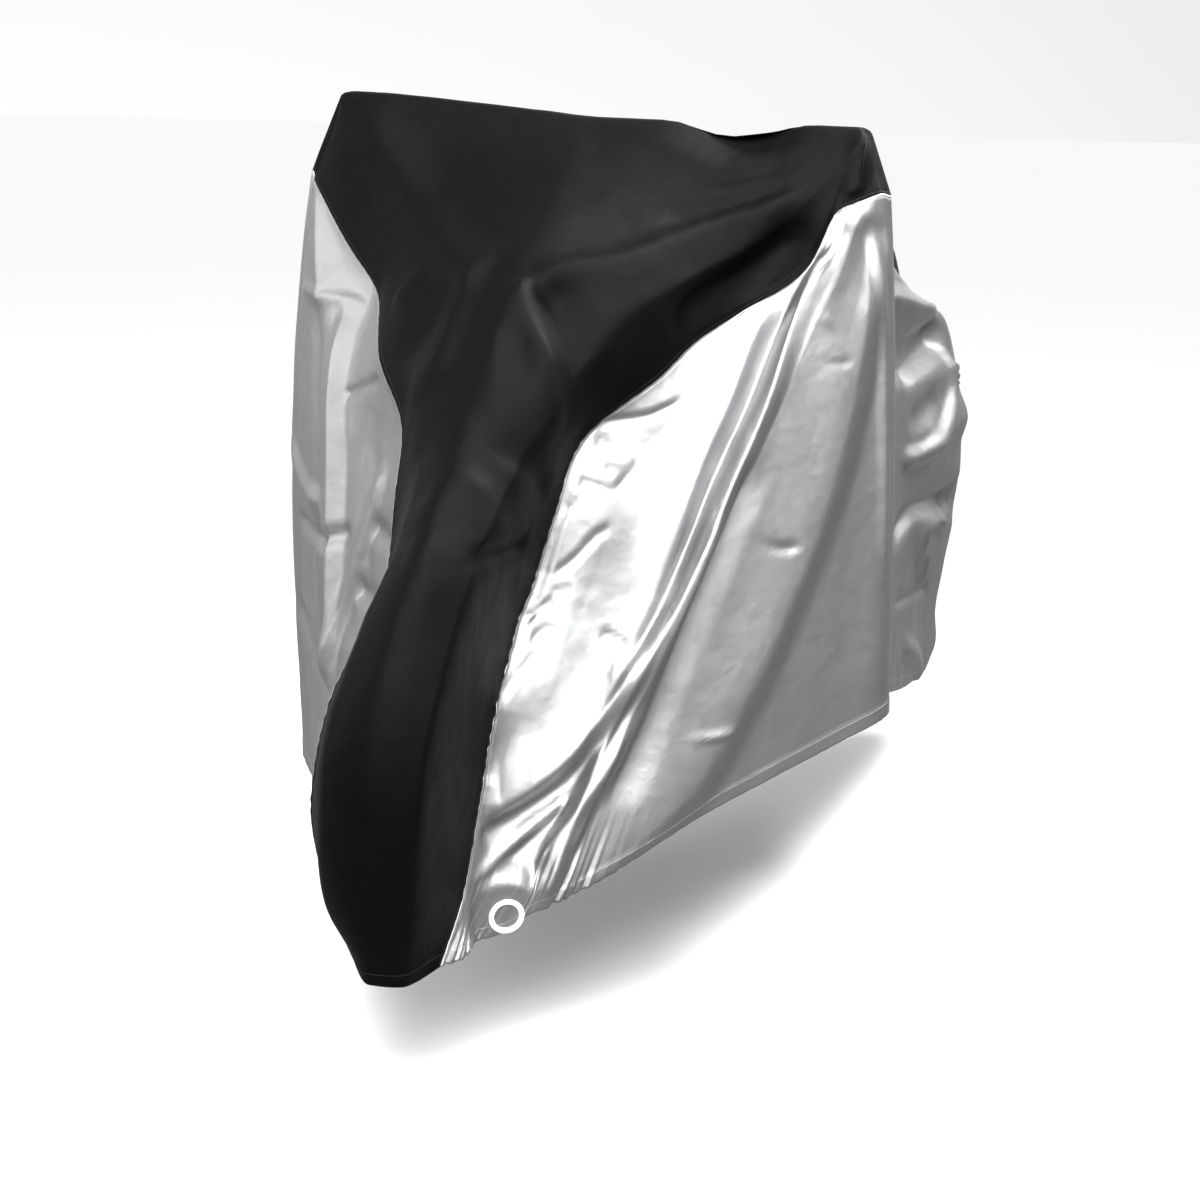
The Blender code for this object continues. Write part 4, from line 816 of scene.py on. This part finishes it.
def fine_black(sections, across):
    """Middle surface of the black panel with all its folds, and what its stitches need."""
    points, normals = black_sheet(sections, across)
    run, right_gap = run_lengths(points, 0), run_lengths(points, 1)
    left_gap = right_gap[:, -1:] - right_gap
    strength = seam_strength(sections)[:, None]
    heights = pucker(run[:, :1], right_gap, strength * PUCKER_SIDE[RIGHT], 0.0)
    heights += pucker(run[:, -1:], left_gap, strength * PUCKER_SIDE[LEFT], 2.0)
    calm = smooth((1 - abs(across))[None, :] / CALM_EDGE)
    heights += CRUMPLE_DEPTH * calm * crumple(points, 4.0)
    points = points + normals * heights[..., None]
    gaps = {"seam_gap": np.minimum(right_gap, left_gap), "seam_run": run, "hem_gap": run,
            "hem_run": right_gap}
    return points, grid_normals(points, LEFT), gaps


# ---------------------------------------------------------------- meshes
def link(data, finish):
    """A new object in the scene, from its mesh and its material."""
    data.materials.append(finish)
    made = bpy.data.objects.new(data.name, data)
    bpy.context.collection.objects.link(made)
    return made


def quad_mesh(name, verts, faces, flat=0):
    """A mesh from its points and its four-sided faces, the last of which may be flat."""
    data = bpy.data.meshes.new(name)
    data.vertices.add(len(verts))
    data.vertices.foreach_set("co", verts.ravel())
    data.loops.add(faces.size)
    data.loops.foreach_set("vertex_index", faces.ravel())
    data.polygons.add(len(faces))
    data.polygons.foreach_set("loop_start", np.arange(0, faces.size, 4))
    data.update(calc_edges=True)
    data.validate()
    data.polygons.foreach_set("use_smooth", np.arange(len(faces)) < len(faces) - flat)
    return data


def sheet_object(name, points, normals, half, gaps, finish):
    """A closed sheet from a grid: an outer face, an inner one and the four edges."""
    rows, cols = points.shape[:2]
    reach = normals * half[..., None]
    verts = np.concatenate([(points + reach).reshape(-1, 3), (points - reach).reshape(-1, 3)])
    below = rows * cols
    number = np.arange(below).reshape(rows, cols)
    corners = [number[:-1, :-1], number[1:, :-1], number[1:, 1:], number[:-1, 1:]]
    outer = np.stack(corners, -1).reshape(-1, 4)
    rim = np.concatenate([number[:, 0], number[-1, 1:], number[-2::-1, -1], number[0, -2::-1]])
    walls = np.stack([rim[:-1], rim[1:], rim[1:] + below, rim[:-1] + below], -1)
    a, b, c = points.reshape(-1, 3)[outer[len(outer) // 2][:3]]
    if np.cross(b - a, c - a) @ normals[rows // 2, cols // 2] < 0:
        outer = outer[:, ::-1]
    else:
        walls = walls[:, ::-1]
    faces = np.concatenate([outer, outer[:, ::-1] + below, walls])
    data = quad_mesh(name, verts, faces, flat=len(walls))
    for key, values in gaps.items():
        layer = data.attributes.new(key, "FLOAT", "POINT")
        layer.data.foreach_set("value", np.tile(values.ravel(), 2).astype(np.float32))
    return link(data, finish)


def surface_area(points):
    """Area of a grid of points."""
    a, b = points[1:, 1:] - points[:-1, :-1], points[:-1, 1:] - points[1:, :-1]
    return float(np.sum(lengths(np.cross(a, b))) / 2)


def half_thickness(hem_gap, hemmed=1.0):
    """Half of the cloth's thickness, which grows at the hem."""
    hem = (1 - smooth((hem_gap - HEM_BAND) / HEM_STEP)) * hemmed
    return FINE_CLOTH / 2 + (FINE_HEM - FINE_CLOTH) / 2 * hem


def share_seam(mine, theirs, pairs):
    """Give two sheets one line, one normal and one mitred thickness along their seam."""
    for here, there in pairs:
        middle = (mine[0][here] + theirs[0][there]) / 2
        both = unit(mine[1][here] + theirs[1][there])
        mitre = max(float(both @ mine[1][here]), MITRE_LIMIT)
        thick = max(mine[2][here], theirs[2][there]) / mitre
        for part, value in enumerate((middle, both, thick)):
            mine[part][here] = value
            theirs[part][there] = value


def build_cloth(finishes):
    """The black panel and the two silver ones, each one continuous sheet, and their areas."""
    along, down = steps(ALONG_FINE), steps(DOWN_FINE)
    last, corner = len(along) - 1, len(down) - 1
    sections = np.concatenate([front_rows(down)[::-1], fan(along[:last])[0][1:]])
    across = np.sin(np.linspace(-1, 1, ACROSS_FINE + 1) * ACROSS_EDGE) / math.sin(ACROSS_EDGE)
    points, normals, gaps = fine_black(sections, across)
    sheets = {"black": (points, normals, half_thickness(gaps["hem_gap"]), gaps)}
    for hand, name in HANDS.items():
        points, normals, gaps = fine_silver(hand, along, down)
        normals[0, 0] = normals[1, 1]          # the grip's corner has no even normal
        half = half_thickness(gaps["hem_gap"], 1 - flat_share(points, hand))
        sheets["silver_" + name] = points, normals, half, gaps
        edge = ACROSS_FINE if hand == LEFT else 0
        pairs = [((corner - j, edge), (0, j)) for j in range(1, corner + 1)]
        pairs += [((corner + i, edge), (i, 0)) for i in range(last)]
        share_seam(sheets["black"], sheets["silver_" + name], pairs)
    share_seam(sheets["silver_left"], sheets["silver_right"],
               [((last, j), (last, j)) for j in range(corner + 1)])
    made = {name: sheet_object("cover_" + name, *sheet, finishes[name.split("_")[0]])
            for name, sheet in sheets.items()}
    return made, {name: surface_area(sheet[0]) for name, sheet in sheets.items()}


def arc(middle, reach, start, sweep):
    """Points of a quarter or so of a ring's rounding, as radius and height."""
    turns = [math.radians(start + sweep * step / ROUND_STEPS) for step in range(ROUND_STEPS + 1)]
    return [(middle[0] + reach[0] * math.cos(turn), middle[1] + reach[1] * math.sin(turn))
            for turn in turns]


def build_ring(hand, finish):
    """An eyelet's ring, turned finely: a barrel with a rounded flange on each face."""
    middle, axis = eyelet_frame(hand)
    groove = CLOTH / 2 + EYELET_PLAY
    under = groove - RING_SINK
    face = groove + EYELET_FLANGE
    upper = [(EYELET_BORE + EYELET_WALL, under), (EYELET_OUTER - RING_INSET, under)]
    upper += arc((EYELET_OUTER - RING_ROUND[0], groove + RING_RAISE), RING_ROUND, -20, 110)
    upper += arc((EYELET_BORE + RING_LIP, face - RING_LIP), (RING_LIP, RING_LIP), 90, 90)
    radius, z = np.transpose(upper + [(radius, -z) for radius, z in reversed(upper)])
    turn = np.linspace(0, 2 * math.pi, RING_TURN, endpoint=False)[:, None]
    points = np.stack([radius * np.cos(turn), radius * np.sin(turn), z + 0 * turn], -1)
    facing = np.array(Vector((0, 0, 1)).rotation_difference(Vector(axis)).to_matrix())
    number = np.arange(RING_TURN * len(z)).reshape(RING_TURN, len(z))
    ahead = np.roll(number, -1, axis=0)
    faces = np.stack([number, ahead, np.roll(ahead, -1, axis=1), np.roll(number, -1, axis=1)], -1)
    return link(quad_mesh("ring_" + HANDS[hand], points.reshape(-1, 3) @ facing.T + middle,
                          faces.reshape(-1, 4)), finish)


# ------------------------------------------------------------- materials
class Nodes:
    """A short way to write the nodes of a material or of the world."""

    def __init__(self, owner, shader="Principled BSDF"):
        owner.use_nodes = True
        self.owner = owner
        self.tree = owner.node_tree
        self.shader = self.tree.nodes[shader]

    def put(self, socket, value):
        """Link a socket to a node's output, or set it."""
        if isinstance(value, bpy.types.NodeSocket):
            self.tree.links.new(value, socket)
        else:
            socket.default_value = value

    def add(self, kind, inputs=(), output=0, **settings):
        """A new node's output, with its settings and its inputs by name or number."""
        node = self.tree.nodes.new("ShaderNode" + kind)
        for key, value in settings.items():
            setattr(node, key, value)
        for socket, value in dict(inputs).items():
            self.put(node.inputs[socket], value)
        return node.outputs[output]

    def set(self, **values):
        """Set the shader's own sockets."""
        for key, value in values.items():
            self.put(self.shader.inputs[key.replace("_", " ")], value)

    def math(self, operation, *values):
        return self.add("Math", dict(enumerate(values)), operation=operation)

    def spread(self, value, middle, width):
        """A value from 0 to 1 turned into one spread evenly round the middle."""
        return self.math("MULTIPLY_ADD", value, width, middle - width / 2)

    def tint(self, colour, shade):
        """A colour made lighter and darker by a shade."""
        channels = [self.math("MULTIPLY", shade, part) for part in colour]
        return self.add("CombineColor", dict(zip(("Red", "Green", "Blue"), channels)))

    def read(self, name):
        """A length kept on the mesh."""
        return self.add("Attribute", output="Fac", attribute_name=name)

    def noise(self, scale, detail=2.0, rough=0.5):
        """Noise from 0 to 1 in the object's own coordinates."""
        where = self.add("TexCoord", output="Object")
        return self.add("TexNoise", {"Vector": where, "Scale": scale, "Detail": detail,
                                     "Roughness": rough})

    def band(self, value, low, high, soft):
        """1 where a value lies between two others, 0 elsewhere."""
        rise, fall = (self.add("MapRange", {"Value": value, "From Min": at - soft,
                                            "From Max": at + soft},
                               interpolation_type="SMOOTHSTEP") for at in (low, high))
        return self.math("SUBTRACT", rise, fall)

    def stitches(self, gap, run, row):
        """A row of stitches at one distance from an edge."""
        line = self.band(gap, row - STITCH_WIDTH / 2, row + STITCH_WIDTH / 2, STITCH_WIDTH / 8)
        phase = self.math("FRACT", self.math("DIVIDE", run, STITCH_PITCH))
        return self.math("MULTIPLY", line, self.band(phase, *STITCH_DASH))

    def weave(self, pitch):
        """Plain weave: threads one way and the other."""
        where = self.add("TexCoord", output="Object")
        turned = self.add("Mapping", {"Vector": where, "Rotation": WEAVE_TURN})
        threads = [self.add("TexWave", {"Vector": turned, "Scale": BANDS_PER_METRE / pitch,
                                        "Distortion": WEAVE_WANDER, "Detail": 1.0}, output="Fac",
                            wave_type="BANDS", bands_direction=way) for way in ("X", "Z")]
        return self.math("MAXIMUM", *threads)

    def bump(self, height, distance, below=None):
        """A bump, over the one below it if there is one."""
        inputs = {"Height": height, "Distance": distance, "Strength": 1.0}
        return self.add("Bump", inputs if below is None else {**inputs, "Normal": below})


def cloth_material(name, colour, thread, look):
    """Coated polyester taffeta: weave, soft crumple, stitches and uneven sheen."""
    nodes = Nodes(bpy.data.materials.new(name))
    seam_gap = nodes.read("seam_gap")
    sewn = nodes.math("MAXIMUM", nodes.stitches(seam_gap, nodes.read("seam_run"), SEAM_ROW),
                      nodes.stitches(nodes.read("hem_gap"), nodes.read("hem_run"), HEM_ROW))
    patches, grain = nodes.noise(PATCHES), nodes.noise(GRAIN, rough=0.6)
    shade = nodes.math("MULTIPLY", nodes.spread(patches, 1.0, look["patch"]),
                       nodes.spread(grain, 1.0, look["grain"]))
    nodes.set(Base_Color=nodes.add("Mix", {0: sewn, 6: nodes.tint(colour, shade),
                                           7: (*thread, 1.0)}, output=2, data_type="RGBA"))
    nodes.set(Roughness=nodes.spread(patches, look["rough"], look["rough spread"]),
              Metallic=look["metallic"], Specular_IOR_Level=look["specular"],
              Sheen_Weight=look["sheen"], Sheen_Roughness=0.4)

    soft = nodes.bump(nodes.noise(SOFT, 3.0, 0.45), BUMPS["soft"])
    small = nodes.bump(nodes.noise(SMALL, 3.0), BUMPS["small"], soft)
    woven = nodes.bump(nodes.weave(WEAVE_PITCH), BUMPS["weave"], small)
    half, soft_edge = GROOVE
    groove = nodes.band(seam_gap, SEAM_ROW - half, SEAM_ROW + half, soft_edge)
    dented = nodes.bump(nodes.math("MULTIPLY", groove, -1.0), BUMPS["groove"], woven)
    nodes.set(Normal=nodes.bump(sewn, BUMPS["stitch"], dented))
    return nodes.owner


def plastic_material():
    """Moulded white plastic: a faint grain, and grey where it is handled."""
    nodes = Nodes(bpy.data.materials.new("ring_plastic"))
    dirt = nodes.noise(RING_LOOK["dirt"], 4.0, 0.6)
    nodes.set(Base_Color=nodes.tint(RING_COLOUR, nodes.spread(dirt, 1.0, RING_LOOK["dirt shade"])),
              Roughness=nodes.spread(dirt, RING_LOOK["rough"], RING_LOOK["rough spread"]),
              Normal=nodes.bump(nodes.noise(RING_LOOK["grain"]), RING_LOOK["bump"]))
    return nodes.owner


# -------------------------------------------------- floor, light, camera
def build_stage():
    """A plain pale floor, with a painted glow that makes it a little brighter further off."""
    mesh = bmesh.new()
    bmesh.ops.create_circle(mesh, cap_ends=True, segments=96, radius=FLOOR_RADIUS)
    data = bpy.data.meshes.new("floor")
    mesh.to_mesh(data)
    mesh.free()
    nodes = Nodes(bpy.data.materials.new("floor_paper"))
    size, strength = FLOOR_PATCHES
    shade = nodes.math("MULTIPLY_ADD", nodes.noise(size), strength, FLOOR_SHADE)
    near, far, glow = FLOOR_PAINTED_GLOW
    where = nodes.add("TexCoord", output="Object")
    away = nodes.add("VectorMath", {0: where}, output="Value", operation="LENGTH")
    # painted glow: the floor gives off light of its own, rising with the distance from its middle
    painted_glow = nodes.add("MapRange", {"Value": away, "From Min": near, "From Max": far,
                                   "To Max": glow}, interpolation_type="SMOOTHSTEP")
    nodes.set(Base_Color=nodes.add("CombineColor", {"Red": shade, "Green": shade, "Blue": shade}),
              Roughness=0.9, Specular_IOR_Level=0.1,
              Emission_Color=(1.0, 1.0, 1.0, 1.0), Emission_Strength=painted_glow)
    floor = link(data, nodes.owner)
    floor.location = (0, 0, FLOOR_Z)
    floor.visible_glossy = False


def from_angles(azimuth, elevation):
    """Unit direction from degrees round Z and above the floor."""
    azimuth, elevation = math.radians(azimuth), math.radians(elevation)
    return Vector((math.cos(elevation) * math.cos(azimuth),
                   math.cos(elevation) * math.sin(azimuth), math.sin(elevation)))


def build_lights():
    """The soft boxes."""
    for name, (azimuth, elevation, distance, size, power, spread) in SOFT_BOXES.items():
        data = bpy.data.lights.new(name, "AREA")
        data.size, data.energy, data.spread = size, power, math.radians(spread)
        light = bpy.data.objects.new(name, data)
        way = from_angles(azimuth, elevation)
        light.location = Vector(LIT_POINT) + way * distance
        light.rotation_euler = way.to_track_quat("Z", "Y").to_euler()
        bpy.context.collection.objects.link(light)


def build_surround():
    """The pale surround: bands by height, and one darker side."""
    nodes = Nodes(bpy.data.worlds.new("surround"), "Background")
    way = nodes.add("TexCoord", output="Generated")
    height = nodes.math("MULTIPLY_ADD", nodes.add("SeparateXYZ", {0: way}, output="Z"), 0.5, 0.5)
    shades = nodes.add("ValToRGB", {"Fac": height})
    stops = shades.node.color_ramp.elements
    stops.remove(stops[1])
    for number, (level, shade) in enumerate(SURROUND):
        stop = stops.new((level + 1) / 2) if number else stops[0]
        stop.position = (level + 1) / 2
        stop.color = (shade, shade, shade, 1.0)
    azimuth, share, narrowness = DARK_SIDE
    side = nodes.add("VectorMath", {0: way, 1: from_angles(azimuth, 0.0)}, output="Value",
                     operation="DOT_PRODUCT")
    dark = nodes.math("POWER", nodes.math("MAXIMUM", side, 0.0), narrowness)
    nodes.set(Color=shades, Strength=nodes.math("MULTIPLY_ADD", dark, -share, 1.0))
    bpy.context.scene.world = nodes.owner


def build_camera():
    """The camera, at the photograph's angle."""
    data = bpy.data.cameras.new("camera")
    data.lens, data.sensor_width, data.sensor_fit = LENS, SENSOR, "HORIZONTAL"
    data.clip_end = SIGHT
    camera = bpy.data.objects.new("camera", data)
    way = from_angles(CAMERA_AZIMUTH, CAMERA_PITCH)
    right = way.cross(Vector((0, 0, 1))).normalized()
    up = right.cross(way)
    roll = math.radians(CAMERA_ROLL)
    across = right * math.cos(roll) + up * math.sin(roll)
    upright = up * math.cos(roll) - right * math.sin(roll)
    turned = Matrix((across, upright, -way)).transposed().to_4x4()
    camera.matrix_world = Matrix.Translation(Vector(CAMERA_PLACE)) @ turned
    bpy.context.collection.objects.link(camera)
    bpy.context.scene.camera = camera


def main():
    """Build the cover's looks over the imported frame."""
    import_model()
    finishes = {"black": cloth_material("black_polyester", BLACK, BLACK_THREAD, BLACK_LOOK),
                "silver": cloth_material("silver_polyester", SILVER, SILVER_THREAD, SILVER_LOOK)}
    plastic = plastic_material()
    cloth, areas = build_cloth(finishes)
    for name, (nodes, slot, (width, length)) in SHEETS.items():
        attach(cloth[name], "root")
        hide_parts(*nodes)
    for hand, name in HANDS.items():
        ring = build_ring(hand, plastic)
        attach(ring, "root")
        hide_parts("eyelet_ring_" + name)
    build_stage()
    build_lights()
    build_surround()
    build_camera()
    bpy.context.scene.view_settings.view_transform = "Standard"


main()
